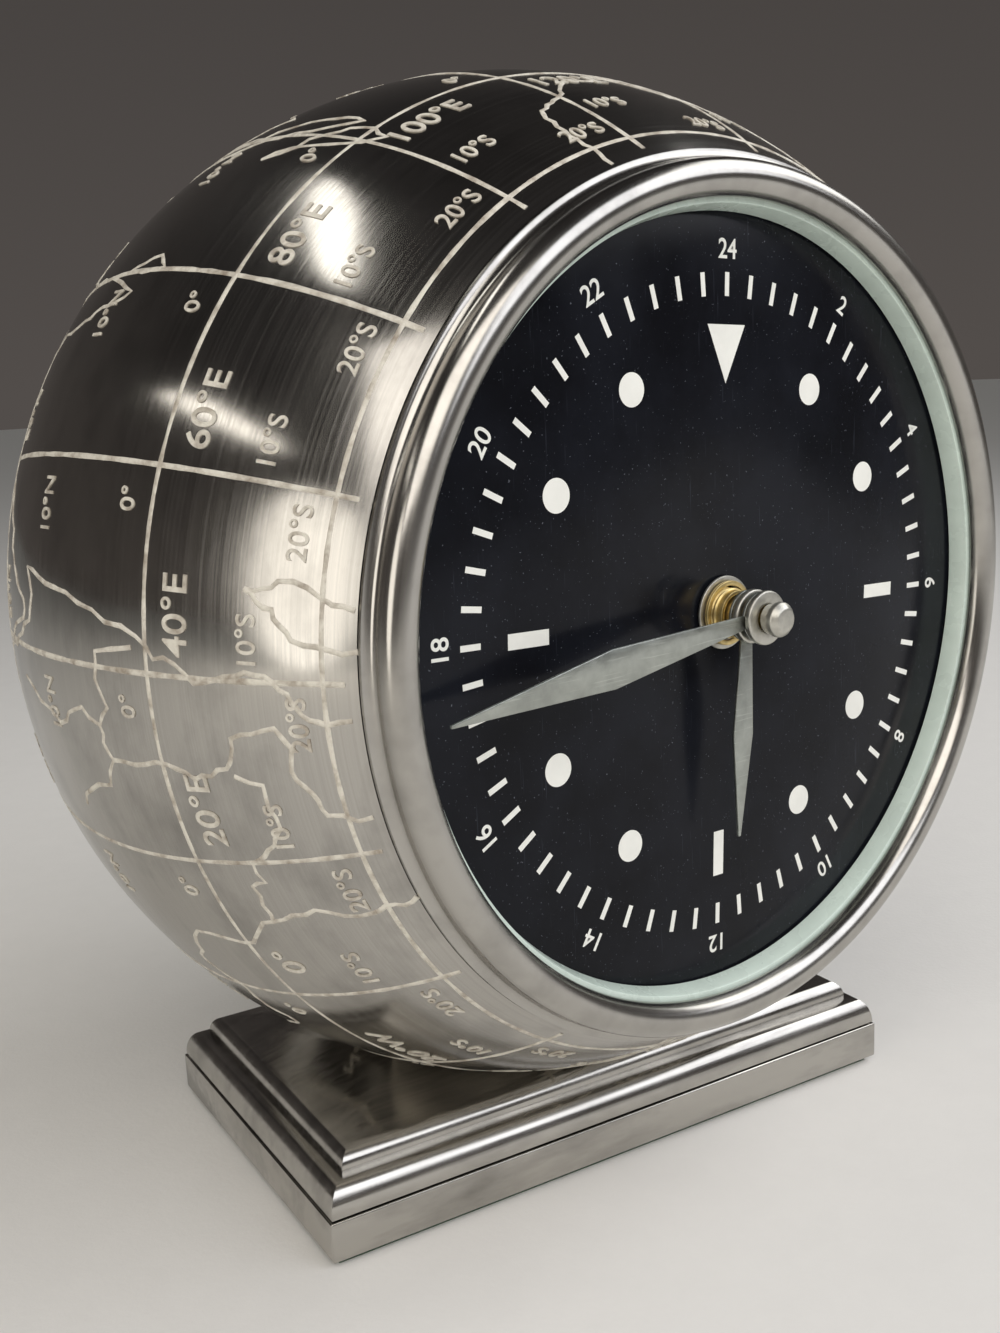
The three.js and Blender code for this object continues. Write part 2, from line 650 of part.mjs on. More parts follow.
function coilSolid() {
  const middleY = statorTop - stator.barWidth / 2;
  const middleZ = statorRear() + stator.thickness / 2;
  const half = stator.barWidth / 2 + coil.coreGap;
  const halfDepth = stator.thickness / 2 + coil.coreGap;
  const winding = disc(coil.radius, -coil.length / 2, coil.length / 2, wheels.sides).rotateY(Math.PI / 2);
  const core = box(-coil.length, coil.length, -half, half, -halfDepth, halfDepth);
  return moved(cut(winding, core), rotorPlace()[0], middleY, middleZ);
}

function rotorSolid() {
  const [x, y] = rotorPlace();
  const from = statorRear() + stator.thickness / 2 - rotor.thickness / 2;
  const phase = meshedPhase(0, goingTrain.thirdTeeth, goingTrain.rotorTeeth, rotorDirection);
  return moved(join(
    disc(rotor.radius, from, from + rotor.thickness, wheels.sides),
    disc(rotor.spindleRadius, pivotRear, pivotFront, wheels.sides),
    wheel(goingTrain.rotorTeeth, goingTrain.module, phase, from, thirdLayer + wheels.thickness),
  ), x, y);
}

function circuitBoard() {
  const from = lidFront + gap;
  const left = movementCase.wall + board.sideClearance - caseHalfWidth;
  const bottom = bayTop + board.footClearance;
  return box(left, left + board.width, bottom, bottom + board.height, from, from + board.thickness);
}

// Battery on its side at the foot of the case, its contacts at the case's side walls
function batterySolid() {
  const half = battery.length / 2;
  const cell = revolve([
    [0, -half], [battery.radius, -half], [battery.radius, half], [battery.nubRadius, half],
    [battery.nubRadius, half + battery.nubLength], [0, half + battery.nubLength],
  ], battery.sides).rotateY(Math.PI / 2);
  return moved(cell, batteryShift(), batteryHeight, batteryDepth);
}

function batteryShift() {
  return -battery.nubLength / 2;
}

function contactSolid(side) {
  const [near, far] = [side * (contactOuter - contact.thickness), side * contactOuter];
  return box(Math.min(near, far), Math.max(near, far), batteryHeight - contact.height / 2,
    batteryHeight + contact.height / 2, batteryDepth - contact.width / 2, batteryDepth + contact.width / 2);
}

// Hands: a flat lozenge blade on an eye, pointing up before it is turned
function handSolid(hand, bore, from) {
  const blade = polygon([
    [-hand.neckWidth / 2, 0], [hand.neckWidth / 2, 0], [hand.widest / 2, hand.widestAt],
    [handBlade.tipWidth / 2, hand.length], [-handBlade.tipWidth / 2, hand.length],
    [-hand.widest / 2, hand.widestAt],
  ]);
  const to = from + handBlade.thickness;
  const whole = join(extrude(blade, from, to), disc(hand.eyeRadius, from, to));
  return cut(whole, disc(bore, from - overrun, to + overrun)).rotateZ(-radians(hand.turnDegrees));
}

function handNutSolid() {
  const neckFront = handNutRear + handNut.neckLength;
  const front = neckFront + handNut.capLength;
  const bore = minutePipe.tipRadius + gap;
  const boreEnd = minuteBushFront + minutePipe.tipLength + gap;
  return revolve([
    [0, boreEnd], [bore, boreEnd], [bore, handNutRear], [handNut.neckRadius, handNutRear],
    [handNut.neckRadius, neckFront], [handNut.capRadius, neckFront], [handNut.capRadius, front - handNut.chamfer],
    [handNut.capRadius - handNut.chamfer, front], [0, front],
  ], smallSides);
}

// Assembly
const baseGroup = new THREE.Group();
baseGroup.rotation.z = radians(base.turnDegrees);
baseGroup.add(
  mesh("base_felt", baseFelt(), finish(0x2c4a34, 0.95, 0)),
  mesh("base_plate", basePlate(), plated()),
  mesh("moulded_plinth", mouldedPlinth(), plated()),
  mesh("swivel_screw", swivelScrewSolid(), steel()),
  mesh("swivel_spring_washer", swivelSpringWasher(), steel()),
  mesh("swivel_lock_nut", swivelLockNut(), steel()),
);

const clock = new THREE.Group();
clock.position.z = globeCentreHeight;
clock.rotation.x = Math.PI / 2;
clock.add(
  mesh("globe_shell", globeShell(), plated()),
  mesh("dial_seat_ring", dialSeatRing(), brass()),
  mesh("dial_plate", dialPlate(), finish(0x0b0b0d, 0.12, 0)),
  mesh("spacer_ring", spacerRing(), finish(0xcfdccb, 0.4, 0)),
  mesh("bezel", bezelRing(), plated()),
  ...screwPlaces().map((place, i) => mesh(`bezel_screw_${i + 1}`, bezelScrew(place), steel())),
  mesh("rear_seat_ring", rearSeatRing(), brass()),
  mesh("rear_cover", rearCap(), plated()),
  mesh("dial_washer", ring(dialWasher.radius, bushRadius + gap, washerRear, washerFront), plated()),
  mesh("bush_nut", ring(bushNut.radius, bushRadius + gap, washerFront + gap, bushNutFront), brass()),
  mesh("threaded_bush", threadedBushSolid(), brass()),
  mesh("movement_case", movementTray(), blackPlastic()),
  mesh("movement_lid", movementCover(), blackPlastic()),
  mesh("circuit_board", circuitBoard(), finish(0x2d5a34, 0.5, 0)),
  mesh("stator", statorSolid(), steel()),
  mesh("coil", coilSolid(), finish(0xa4552a, 0.4, 0.6)),
  mesh("rotor", rotorSolid(), steel()),
  mesh("battery", batterySolid(), finish(0x8a8c8e, 0.4, 0.4)),
  mesh("battery_contact_plus", contactSolid(-1), brass()),
  mesh("battery_contact_minus", contactSolid(1), brass()),
  mesh("minute_arbor", minuteArborSolid(), brass()),
  mesh("minute_hand", handSolid(minuteHand, minutePipe.radius + gap, minuteBladeRear), silvered()),
  mesh("minute_hand_bush", ring(minuteBush.radius, minutePipe.radius + gap, minuteBushRear, minuteBushFront),
    plated()),
  mesh("hand_nut", handNutSolid(), plated()),
  mesh("hour_wheel", hourWheelSolid(), brass()),
  mesh("hour_hand", handSolid(hourHand, hourPipeRadius + gap, hourBladeRear), silvered()),
  mesh("hour_hand_bush", ring(hourBush.radius, hourPipeRadius + gap, hourBushRear, hourBushFront), plated()),
  mesh("motion_wheel", motionWheelSolid(), whitePlastic()),
  mesh("third_wheel", thirdWheelSolid(), whitePlastic()),
  mesh("setting_knob", settingKnobSolid(), whitePlastic()),
);

const saddlePiece = mesh("swivel_saddle", swivelSaddle(), brass());

const globeClock = new THREE.Group();
globeClock.add(baseGroup, clock, saddlePiece);

export default globeClock;
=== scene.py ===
import math
import random

import bmesh
import bpy
from mathutils import Matrix, Vector


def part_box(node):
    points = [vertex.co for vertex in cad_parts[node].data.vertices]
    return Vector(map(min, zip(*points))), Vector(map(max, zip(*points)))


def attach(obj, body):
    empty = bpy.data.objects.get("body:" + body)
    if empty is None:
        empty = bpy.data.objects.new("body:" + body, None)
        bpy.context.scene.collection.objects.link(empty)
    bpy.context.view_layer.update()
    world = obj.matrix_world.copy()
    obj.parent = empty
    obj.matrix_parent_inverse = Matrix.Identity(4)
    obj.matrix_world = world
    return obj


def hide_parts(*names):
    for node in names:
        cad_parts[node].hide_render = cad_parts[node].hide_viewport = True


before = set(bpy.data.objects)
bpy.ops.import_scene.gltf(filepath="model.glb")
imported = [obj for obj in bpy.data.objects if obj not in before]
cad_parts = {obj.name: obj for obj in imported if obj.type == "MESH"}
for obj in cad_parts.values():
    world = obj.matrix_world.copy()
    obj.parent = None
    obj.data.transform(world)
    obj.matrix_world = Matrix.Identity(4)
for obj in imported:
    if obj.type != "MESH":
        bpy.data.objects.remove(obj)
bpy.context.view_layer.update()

bl_info = {
    "name": "Globe clock",
    "version": (1, 0, 0),
    "blender": (4, 5, 0),
    "location": "3D Viewport > Sidebar > Globe Clock",
    "description": "Dresses the globe clock's frame with its finished pieces and its studio",
    "category": "Object",
}

# Units, and places taken from the frame
MM = 0.001
SHELL_LOW, SHELL_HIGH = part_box("globe_shell")
GLOBE_CENTRE = Vector((0, 0, (SHELL_LOW.z + SHELL_HIGH.z) / 2))
GLOBE_RADIUS = (SHELL_HIGH.z - SHELL_LOW.z) / 2
FRONT_PLANE = -SHELL_LOW.y

# The air between pieces, how far a cutter reaches past what it cuts, and how near corners are joined
CLEARANCE = 0.3 * MM
OVERRUN = 4 * MM
WELD = 0.0005 * MM

# Fineness: sides of rounds, where rods stand for dots too, and steps of arcs
LARGE_SIDES = 256
CUP_SIDES = 192
SMALL_SIDES = 96
ROD_SIDES = 48
THREAD_SIDES = 36
SHELL_STEPS = 120
COVER_STEPS = 40
BEAD_STEPS = 32
ROLL_STEPS = 10

# Rounding of the edges of turned pieces
DIAL_EDGE = WASHER_EDGE = 0.12 * MM
BUSH_EDGE = 0.1 * MM
SPACER_EDGE = 0.15 * MM
NUT_EDGE = 0.25 * MM
COLLET_EDGE = 0.3 * MM

# Figures: the height of a capital as a share of the built-in typeface's size, and how far an outline is
# thickened: on the map as a share of its height, on the dial as a length
CAPITAL_SHARE = 0.73
MAP_FIGURE_WEIGHT = 0.012
DIAL_FIGURE_WEIGHT = 0.05 * MM

# Degrees from one minute tick, one hour mark and one of the dial's 24 hours to the next
MINUTE_STEP, MARK_STEP, HOUR_STEP = 6, 30, 15

# How far along the clock the dark band of the battery's sleeve reaches
SLEEVE_BAND_END = -9 * MM


def front_of(node):
    """How far the node's front lies before the globe's centre."""
    return -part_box(node)[0].y


def back_of(node):
    """How far the node's back lies before the globe's centre, negative behind it."""
    return -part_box(node)[1].y


def radius_of(node):
    """The radius of a turned node on the globe's level axis."""
    low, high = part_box(node)
    return (high.x - low.x) / 2


# Sizes and colours that a user would change

def length(name, description, millimetres):
    """A length that a user can change, its default in millimetres."""
    return bpy.props.FloatProperty(
        name=name, description=description, default=millimetres * MM, min=0, unit="LENGTH")


def angle(name, description, degrees):
    """An angle that a user can change, its default in degrees."""
    return bpy.props.FloatProperty(
        name=name, description=description, default=math.radians(degrees), subtype="ANGLE")


def colour(name, description, code):
    """A colour that a user can change, its default in six hex digits."""
    return bpy.props.FloatVectorProperty(
        name=name, description=description, default=linear(code)[:3], subtype="COLOR", size=3, min=0, max=1)


def linear(code):
    """The linear RGBA value of an sRGB colour written as six hex digits."""
    channels = [int(code[i:i + 2], 16) / 255 for i in (0, 2, 4)]
    return [c / 12.92 if c <= 0.04045 else ((c + 0.055) / 1.055) ** 2.4 for c in channels] + [1.0]


class GlobeSizes(bpy.types.PropertyGroup):
    """Sizes of the engraved globe."""
    wall: length("Wall", "Thickness of the spun shell", 1.6)
    line_width: length("Line width", "Width of an engraved grid line", 0.85)
    coast_width: length("Coast width", "Width of an engraved coast line", 0.8)
    line_rise: length("Line rise", "How far the filling stands above the metal", 0.14)
    figure_height: length("Figure height", "Height of the large degree figures", 4.4)
    small_figure_height: length("Small figure height", "Height of the small degree figures", 3.0)
    map_turn: angle("Map turn", "Clockwise turn of the zero meridian from straight up", 229.5)
    equator: angle("Equator", "Angle of the engraved equator before the globe's middle", 17.0)
    grid_step: angle("Grid step", "Longitude between two meridians", 20.0)


class CoverSizes(bpy.types.PropertyGroup):
    """Sizes of the pull-out rear cover."""
    seat_wall: length("Seat wall", "Width of the seat ring that the spigot slides in", 3.7)
    spigot_wall: length("Spigot wall", "Thickness of the spigot that enters the globe", 1.5)
    slot_width: length("Slot width", "Width of a slot that lets the spigot spring", 2.0)
    notch_width: length("Notch width", "Width of the nail notch in the rim", 14.0)
    notch_depth: length("Notch depth", "Depth of the nail notch in the rim", 1.6)


class DialSizes(bpy.types.PropertyGroup):
    """Sizes of the dial's print."""
    roll: angle("Roll", "How far the print is turned clockwise", 2.42)
    tick_circle: length("Tick circle", "Radius of the middle of the minute ticks", 50.0)
    tick_length: length("Tick length", "Length of a minute tick", 3.5)
    tick_width: length("Tick width", "Width of a minute tick", 0.9)
    figure_circle: length("Figure circle", "Radius of the middle of the figures", 55.0)
    figure_height: length("Figure height", "Height of the figures", 3.0)
    mark_circle: length("Mark circle", "Radius of the middle of the hour marks", 39.7)
    dot_diameter: length("Dot diameter", "Diameter of an hour dot", 5.0)
    bar_length: length("Bar length", "Length of an hour bar", 7.5)
    bar_width: length("Bar width", "Width of an hour bar", 2.3)
    triangle_height: length("Triangle height", "Height of the triangle at the top", 8.75)
    triangle_width: length("Triangle width", "Width of the triangle at the top", 8.25)
    print_rise: length("Print rise", "Thickness of the printed ink", 0.05)


class BezelSizes(bpy.types.PropertyGroup):
    """Sizes of the bezel and of the spacer ring inside it."""
    bead_radius: length("Bead radius", "Radius of the rounded front", 2.75)
    bead_outset: length("Bead outset", "How far the bead's middle lies outside the dial", 1.36)
    cove_radius: length("Cove radius", "Radius of the hollow beside the bead", 1.45)
    foot_height: length("Foot height", "Height of the flat foot on the globe", 0.5)
    spacer_width: length("Spacer width", "Width of the spacer ring", 2.94)
    spacer_draft: length("Spacer draft", "How far the spacer's inner face leans outwards", 0.8)


class HubSizes(bpy.types.PropertyGroup):
    """Sizes of the turned pieces at the dial's centre."""
    bush_radius: length("Bush radius", "Outer radius of the threaded bush", 4.0)
    thread_depth: length("Thread depth", "Depth of the bush's thread", 0.25)
    thread_pitch: length("Thread pitch", "Distance between two turns of the thread", 0.75)
    flange: length("Flange", "Thickness of the bush's flange", 0.9)
    hour_bore: length("Hour bore", "Bore of the hour hand's bush", 3.1)
    minute_bore: length("Minute bore", "Bore of the minute hand's bush", 2.1)
    neck_radius: length("Neck radius", "Radius of the end nut's neck", 2.3)
    neck_length: length("Neck length", "Length of the end nut's neck", 1.4)
    nut_bore: length("Nut bore", "Bore of the end nut", 1.5)
    nut_bore_depth: length("Nut bore depth", "Depth of the end nut's bore", 2.2)
    cap_chamfer: length("Cap chamfer", "Chamfer of the end nut's cap", 0.9)


class HandSizes(bpy.types.PropertyGroup):
    """Sizes of the two lozenge hands, and where they stand."""
    hour_length: length("Hour length", "Length of the hour hand", 35.5)
    hour_width: length("Hour width", "Greatest width of the hour hand", 4.4)
    hour_widest: length("Hour widest", "Where the hour hand is widest", 19.0)
    hour_neck: length("Hour neck", "Width of the hour hand at its eye", 2.4)
    hour_eye: length("Hour eye", "Radius of the hour hand's eye", 4.0)
    hour_turn: angle("Hour turn", "Clockwise turn of the hour hand from straight up", 184.0)
    minute_length: length("Minute length", "Length of the minute hand", 60.0)
    minute_width: length("Minute width", "Greatest width of the minute hand", 5.9)
    minute_widest: length("Minute widest", "Where the minute hand is widest", 31.0)
    minute_neck: length("Minute neck", "Width of the minute hand at its eye", 2.1)
    minute_eye: length("Minute eye", "Radius of the minute hand's eye", 3.9)
    minute_turn: angle("Minute turn", "Clockwise turn of the minute hand from straight up", 264.4)
    tip_width: length("Tip width", "Width of a hand's tip", 0.5)
    edge: length("Edge", "Rounding of a hand's edges", 0.16)
    eye_edge: length("Eye edge", "Rounding of an eye's edges", 0.1)


class BaseSizes(bpy.types.PropertyGroup):
    """Sizes of the moulded base."""
    length_over: length("Length", "Length of the base", 119.5)
    depth_over: length("Depth", "Depth of the base", 72.0)
    turn: angle("Turn", "Turn of the base about the upright axis", -7.7)
    set_back: length("Set back", "Step from slab to plinth", 0.4)
    lower_set: length("Lower roll set", "Width of the lower roll", 3.0)
    lower_rise: length("Lower roll rise", "Height of the lower roll", 4.9)
    quirk_set: length("Quirk set", "Width of the step between the rolls", 1.0)
    quirk_rise: length("Quirk rise", "Height of the step between the rolls", 0.5)
    upper_set: length("Upper roll set", "Width of the upper roll", 2.8)
    upper_rise: length("Upper roll rise", "Height of the upper roll", 3.0)
    roof_run: length("Roof run", "Width of the hipped top's slope", 22.0)
    roof_slope: angle("Roof slope", "Slope of the hipped top", 14.5)
    edge: length("Edge", "Rounding of the slab's edges", 0.3)
    screw_hole: length("Screw hole", "Radius of the swivel screw's hole", 3.3)
    head_hole: length("Head hole", "Radius of the hole for the swivel screw's head", 6.6)
    head_depth: length("Head depth", "Depth of the hole for the swivel screw's head", 4.0)


class FinishColours(bpy.types.PropertyGroup):
    """Colours of the finishes."""
    plate: colour("Plating", "Nickel plating on the globe and base", "bcb9b3")
    filling: colour("Filling", "Cream filling of the engraved lines", "dad5c8")
    lacquer: colour("Dial", "Black lacquer of the dial", "111216")
    ink: colour("Print", "White print of the dial", "f1f1ea")
    spacer: colour("Spacer", "Pale green spacer ring", "d3e2d8")
    brass: colour("Brass", "Brass of the threaded bush", "dfc88c")
    satin: colour("Satin nickel", "Satin nickel of the hub", "cbc9c0")
    blade: colour("Hands", "Silvered hands", "b3b7b1")


GROUPS = {
    "clock_globe": GlobeSizes, "clock_cover": CoverSizes, "clock_dial": DialSizes, "clock_bezel": BezelSizes,
    "clock_hub": HubSizes, "clock_hands": HandSizes, "clock_base": BaseSizes, "clock_finish": FinishColours,
}


# Meshes and pieces

def mesh_from(name, bm):
    """Turns a bmesh into a mesh."""
    mesh = bpy.data.meshes.new(name)
    bm.to_mesh(mesh)
    bm.free()
    return mesh


def take(bm, mesh):
    """Moves a mesh into a bmesh."""
    bm.from_mesh(mesh)
    bpy.data.meshes.remove(mesh)


def placed(name, data):
    """Puts a mesh, lamp or camera in the scene."""
    holder = bpy.data.objects.new(name, data)
    bpy.context.scene.collection.objects.link(holder)
    return holder


def mesh_of_curve(curve):
    """Turns a curve or a text into a mesh."""
    holder = bpy.data.objects.new(curve.name, curve)
    mesh = bpy.data.meshes.new_from_object(holder)
    bpy.data.objects.remove(holder)
    bpy.data.curves.remove(curve)
    return mesh


def give_finish(mesh, finish):
    """Gives a mesh the material of a finish."""
    mesh.materials.clear()
    mesh.materials.append(material_of(finish))


def finish_piece(name, mesh, finish, body, nodes=(), sharp=35):
    """Makes a mesh a piece that rides on a body and stands for the given CAD nodes. Edges whose faces
    meet at more than sharp degrees look sharp."""
    piece = placed(name, mesh)
    give_finish(mesh, finish)
    mesh.shade_smooth()
    mesh.set_sharp_from_angle(angle=math.radians(sharp))
    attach(piece, body)
    if nodes:
        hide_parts(*nodes)


def finish_bmesh(name, bm, finish, body, nodes=(), sharp=35):
    """Makes a bmesh a piece."""
    finish_piece(name, mesh_from(name, bm), finish, body, nodes, sharp)


def clean(bm):
    """Joins corners that lie on each other and turns the faces outwards."""
    bmesh.ops.remove_doubles(bm, verts=bm.verts, dist=WELD)
    bmesh.ops.recalc_face_normals(bm, faces=bm.faces)


def bevel(bm, geom, edge, segments=3, affect="EDGES"):
    """Rounds edges or corners by edge."""
    bmesh.ops.bevel(bm, geom=geom, offset=edge, offset_type="OFFSET", affect=affect, segments=segments,
                    profile=0.5, material=-1, clamp_overlap=True)


def extruded(bm, face):
    """Extrudes a face in place, and gives the new face and its corners."""
    made = bmesh.ops.extrude_face_region(bm, geom=[face])["geom"]
    return (next(g for g in made if isinstance(g, bmesh.types.BMFace)),
            [g for g in made if isinstance(g, bmesh.types.BMVert)])


def turn_profile(bm, profile, steps=LARGE_SIDES, edge=0.0):
    """Spins an outline of (radius, front) points about the globe's level axis, its corners rounded by edge."""
    sheet = bmesh.new()
    corners = [sheet.verts.new((radius, -front, GLOBE_CENTRE.z)) for radius, front in profile]
    sheet.faces.new(corners)
    if edge:
        bevel(sheet, [v for v in sheet.verts if v.co.x > edge], edge, affect="VERTICES")
    bmesh.ops.delete(sheet, geom=list(sheet.faces), context="FACES_ONLY")
    on_axis = [e for e in sheet.edges if all(v.co.x < WELD for v in e.verts)]
    bmesh.ops.delete(sheet, geom=on_axis, context="EDGES")
    bmesh.ops.spin(sheet, geom=list(sheet.verts) + list(sheet.edges), cent=GLOBE_CENTRE, axis=(0, 1, 0),
                   angle=math.tau, steps=steps, use_merge=True, use_duplicate=False)
    clean(sheet)
    take(bm, mesh_from("part", sheet))


def turned(name, profile, finish, body, node, edge=0.0, steps=LARGE_SIDES, sharp=35):
    """Makes a piece that is turned about the globe's level axis and stands for a CAD node."""
    bm = bmesh.new()
    turn_profile(bm, profile, steps, edge)
    finish_bmesh(name, bm, finish, body, [node], sharp)


def ring(bore, outer, back, front):
    """The section of a plain ring."""
    return [(bore, back), (outer, back), (outer, front), (bore, front)]


def arc_profile(radius, start, end, steps, centre=(0, 0)):
    """(radius, front) points of an arc about a point of the profile's plane, its angles from straight ahead."""
    angles = [start + (end - start) * i / steps for i in range(steps + 1)]
    return [(centre[0] + radius * math.sin(a), centre[1] + radius * math.cos(a)) for a in angles]


def block(low, high):
    """A box between two corners, as a cutter."""
    bm = bmesh.new()
    made = bmesh.ops.create_cube(bm, size=1.0)["verts"]
    bmesh.ops.scale(bm, verts=made, vec=[h - l for l, h in zip(low, high)])
    bmesh.ops.translate(bm, verts=made, vec=[(h + l) / 2 for l, h in zip(low, high)])
    return bm


def upright_rod(radius, bottom, top):
    """An upright round rod on the swivel's axis, as a cutter."""
    bm = bmesh.new()
    made = bmesh.ops.create_cone(bm, cap_ends=True, segments=ROD_SIDES, radius1=radius, radius2=radius,
                                 depth=top - bottom)["verts"]
    bmesh.ops.translate(bm, verts=made, vec=(0, 0, (top + bottom) / 2))
    return bm


def cut_piece(name, bm, cutters, finish, body, node, sharp=35):
    """Makes a piece that stands for a CAD node from a bmesh with other bmeshes cut away from it."""
    blank, *holders = (placed(part, mesh_from(part, shape)) for part, shape in
                       [(name + "_blank", bm), *((f"cutter_{i}", cutter) for i, cutter in enumerate(cutters))])
    for holder in holders:
        modifier = blank.modifiers.new(holder.name, "BOOLEAN")
        modifier.operation = "DIFFERENCE"
        modifier.solver = "EXACT"
        modifier.object = holder
    bpy.context.view_layer.update()
    mesh = bpy.data.meshes.new_from_object(blank.evaluated_get(bpy.context.evaluated_depsgraph_get()))
    mesh.name = name
    for holder in (*holders, blank):
        bpy.data.objects.remove(holder)
    finish_piece(name, mesh, finish, body, [node], sharp)


def dial_frame(angle_from_up, radius, front):
    """Places flat work on the dial: x clockwise, y outwards, z to the viewer."""
    outwards = Vector((math.sin(angle_from_up), 0, math.cos(angle_from_up)))
    clockwise = Vector((math.cos(angle_from_up), 0, -math.sin(angle_from_up)))
    place = GLOBE_CENTRE + outwards * radius + Vector((0, -front, 0))
    return Matrix((
        (clockwise.x, outwards.x, 0, place.x), (clockwise.y, outwards.y, -1, place.y),
        (clockwise.z, outwards.z, 0, place.z), (0, 0, 0, 1)))


def text_mesh(words, height, rise, weight):
    """The mesh of flat figures in the built-in sans typeface, centred on their own origin."""
    curve = bpy.data.curves.new("words", "FONT")
    curve.body = words
    curve.size = height / CAPITAL_SHARE
    curve.align_x = "CENTER"
    curve.align_y = "CENTER"
    curve.extrude = rise / 2
    curve.offset = weight
    curve.resolution_u = 6
    return mesh_of_curve(curve)


# Materials

def add_node(tree, kind, inputs=None, **settings):
    """Adds a node with its settings, and sets or links its inputs."""
    node = tree.nodes.new(kind)
    for key, value in settings.items():
        setattr(node, key, value)
    for key, value in (inputs or {}).items():
        if isinstance(value, bpy.types.NodeSocket):
            tree.links.new(value, node.inputs[key])
        else:
            node.inputs[key].default_value = value
    return node


def in_millimetres(tree, size, turn=0.0):
    """Object coordinates from the globe's centre, counted in steps as long as size says in mm."""
    place = add_node(tree, "ShaderNodeTexCoord")
    return add_node(tree, "ShaderNodeMapping", {
        "Vector": place.outputs["Object"], "Location": GLOBE_CENTRE, "Rotation": (0, 0, turn),
        "Scale": [s * MM for s in size]}, vector_type="TEXTURE").outputs["Vector"]


def clouds(tree, place, low, high, reach, detail, roughness):
    """Noise one step across, whose values between the two of reach are spread from low to high."""
    noise = add_node(tree, "ShaderNodeTexNoise", {
        "Vector": place, "Scale": 1.0, "Detail": detail, "Roughness": roughness})
    return add_node(tree, "ShaderNodeMapRange", {
        "Value": noise.outputs["Fac"], "From Min": reach[0], "From Max": reach[1], "To Min": low,
        "To Max": high}, clamp=True).outputs["Result"]


def grain(tree, size, low=0.0, high=1.0, reach=(0.35, 0.65), detail=3.0, turn=0.0):
    """Noise as long in x, y and z as size says in mm, or all round where size is one number."""
    lengths = size if isinstance(size, tuple) else (size,) * 3
    return clouds(tree, in_millimetres(tree, lengths, turn), low, high, reach, detail, 0.6)


def lathe_rings(tree, pitch, low=0.0, high=1.0):
    """Noise in rings about the globe's level axis, as far apart as pitch says in mm."""
    place = in_millimetres(tree, (pitch,) * 3)
    across = add_node(tree, "ShaderNodeVectorMath", {0: place, 1: (1, 0, 1)}, operation="MULTIPLY")
    radius = add_node(tree, "ShaderNodeVectorMath", {0: across.outputs[0]}, operation="LENGTH")
    along = add_node(tree, "ShaderNodeSeparateXYZ", {0: place})
    section = add_node(tree, "ShaderNodeCombineXYZ", {
        "X": radius.outputs["Value"], "Y": along.outputs["Y"]})
    return clouds(tree, section.outputs[0], low, high, (0.35, 0.65), 3.0, 0.65)


def shaded(value, share):
    """A linear colour made darker or lighter."""
    return [min(1, c * share) for c in value[:3]] + [1.0]


# Recipes: each gives a base tone, coats over it of (share, tone), reliefs of (height, depth in mm), and
# what else the shader is told

def spun_nickel(tree, value):
    # Nickel plate on spun brass: a warm mirror whose polishing rings stretch each highlight across
    # them, rippled by the spinning and dulled in places by tarnish. Real rings lie under 0.1 mm
    # apart, and are drawn at 0.3 mm so that they show.
    tarnish = grain(tree, (17, 10, 17), reach=(0.46, 0.74), detail=5.0)
    ripple = grain(tree, (36, 28, 36), reach=(0.2, 0.8), detail=1.0)
    tangent = add_node(tree, "ShaderNodeTangent", direction_type="RADIAL", axis="Y")
    return (
        value, [(tarnish, shaded(value, 0.66)), (lathe_rings(tree, 0.3, 0.0, 0.22), shaded(value, 0.5))],
        [(ripple, 0.30), (lathe_rings(tree, 0.3), 0.0006)],
        {"Metallic": 1.0, "Roughness": lathe_rings(tree, 0.5, 0.13, 0.19), "Anisotropic": 0.6,
         "Anisotropic Rotation": 0.25, "Tangent": tangent.outputs["Tangent"]})


def turned_nickel(tree, value):
    # Nickel plate on turned brass: smooth and a little darker than the globe, with faint tool rings
    # 0.8 mm apart and a few dull clouds where fingers have been.
    touched = grain(tree, 9, reach=(0.45, 0.75), detail=4.0)
    return (shaded(value, 0.9), [(touched, shaded(value, 0.68))], [(lathe_rings(tree, 0.8), 0.002)],
            {"Metallic": 1.0, "Roughness": lathe_rings(tree, 1.4, 0.18, 0.26)})


def pressed_nickel(tree, value):
    # Nickel plate on pressed steel: bright, with long buffing marks along the mouldings, 0.7 mm apart,
    # and dark stains that gather in patches.
    turn = bpy.context.scene.clock_base.turn
    stains = grain(tree, (24, 7, 7), reach=(0.45, 0.75), detail=5.0, turn=turn)
    return (value, [(stains, shaded(value, 0.6))], [(grain(tree, (40, 0.7, 0.7), turn=turn), 0.005)],
            {"Metallic": 1.0, "Roughness": grain(tree, (30, 1.6, 1.6), 0.15, 0.27, turn=turn)})


def satin_nickel(tree, value):
    # Nickel plate left satin from the lathe: pale and soft, with rings 0.3 mm apart that catch the light.
    return (value, [(grain(tree, 1.6), shaded(value, 0.82))], [(lathe_rings(tree, 0.3), 0.008)],
            {"Metallic": 1.0, "Roughness": grain(tree, 2, 0.36, 0.48)})


def turned_brass(tree, value):
    # Brass as it comes from the lathe: pale yellow, satin, with rings 0.3 mm apart and darker spots.
    spots = grain(tree, 1.4, reach=(0.4, 0.75), detail=4.0)
    return (value, [(spots, shaded(value, 0.7))], [(lathe_rings(tree, 0.3), 0.008)],
            {"Metallic": 1.0, "Roughness": grain(tree, 3, 0.32, 0.44)})


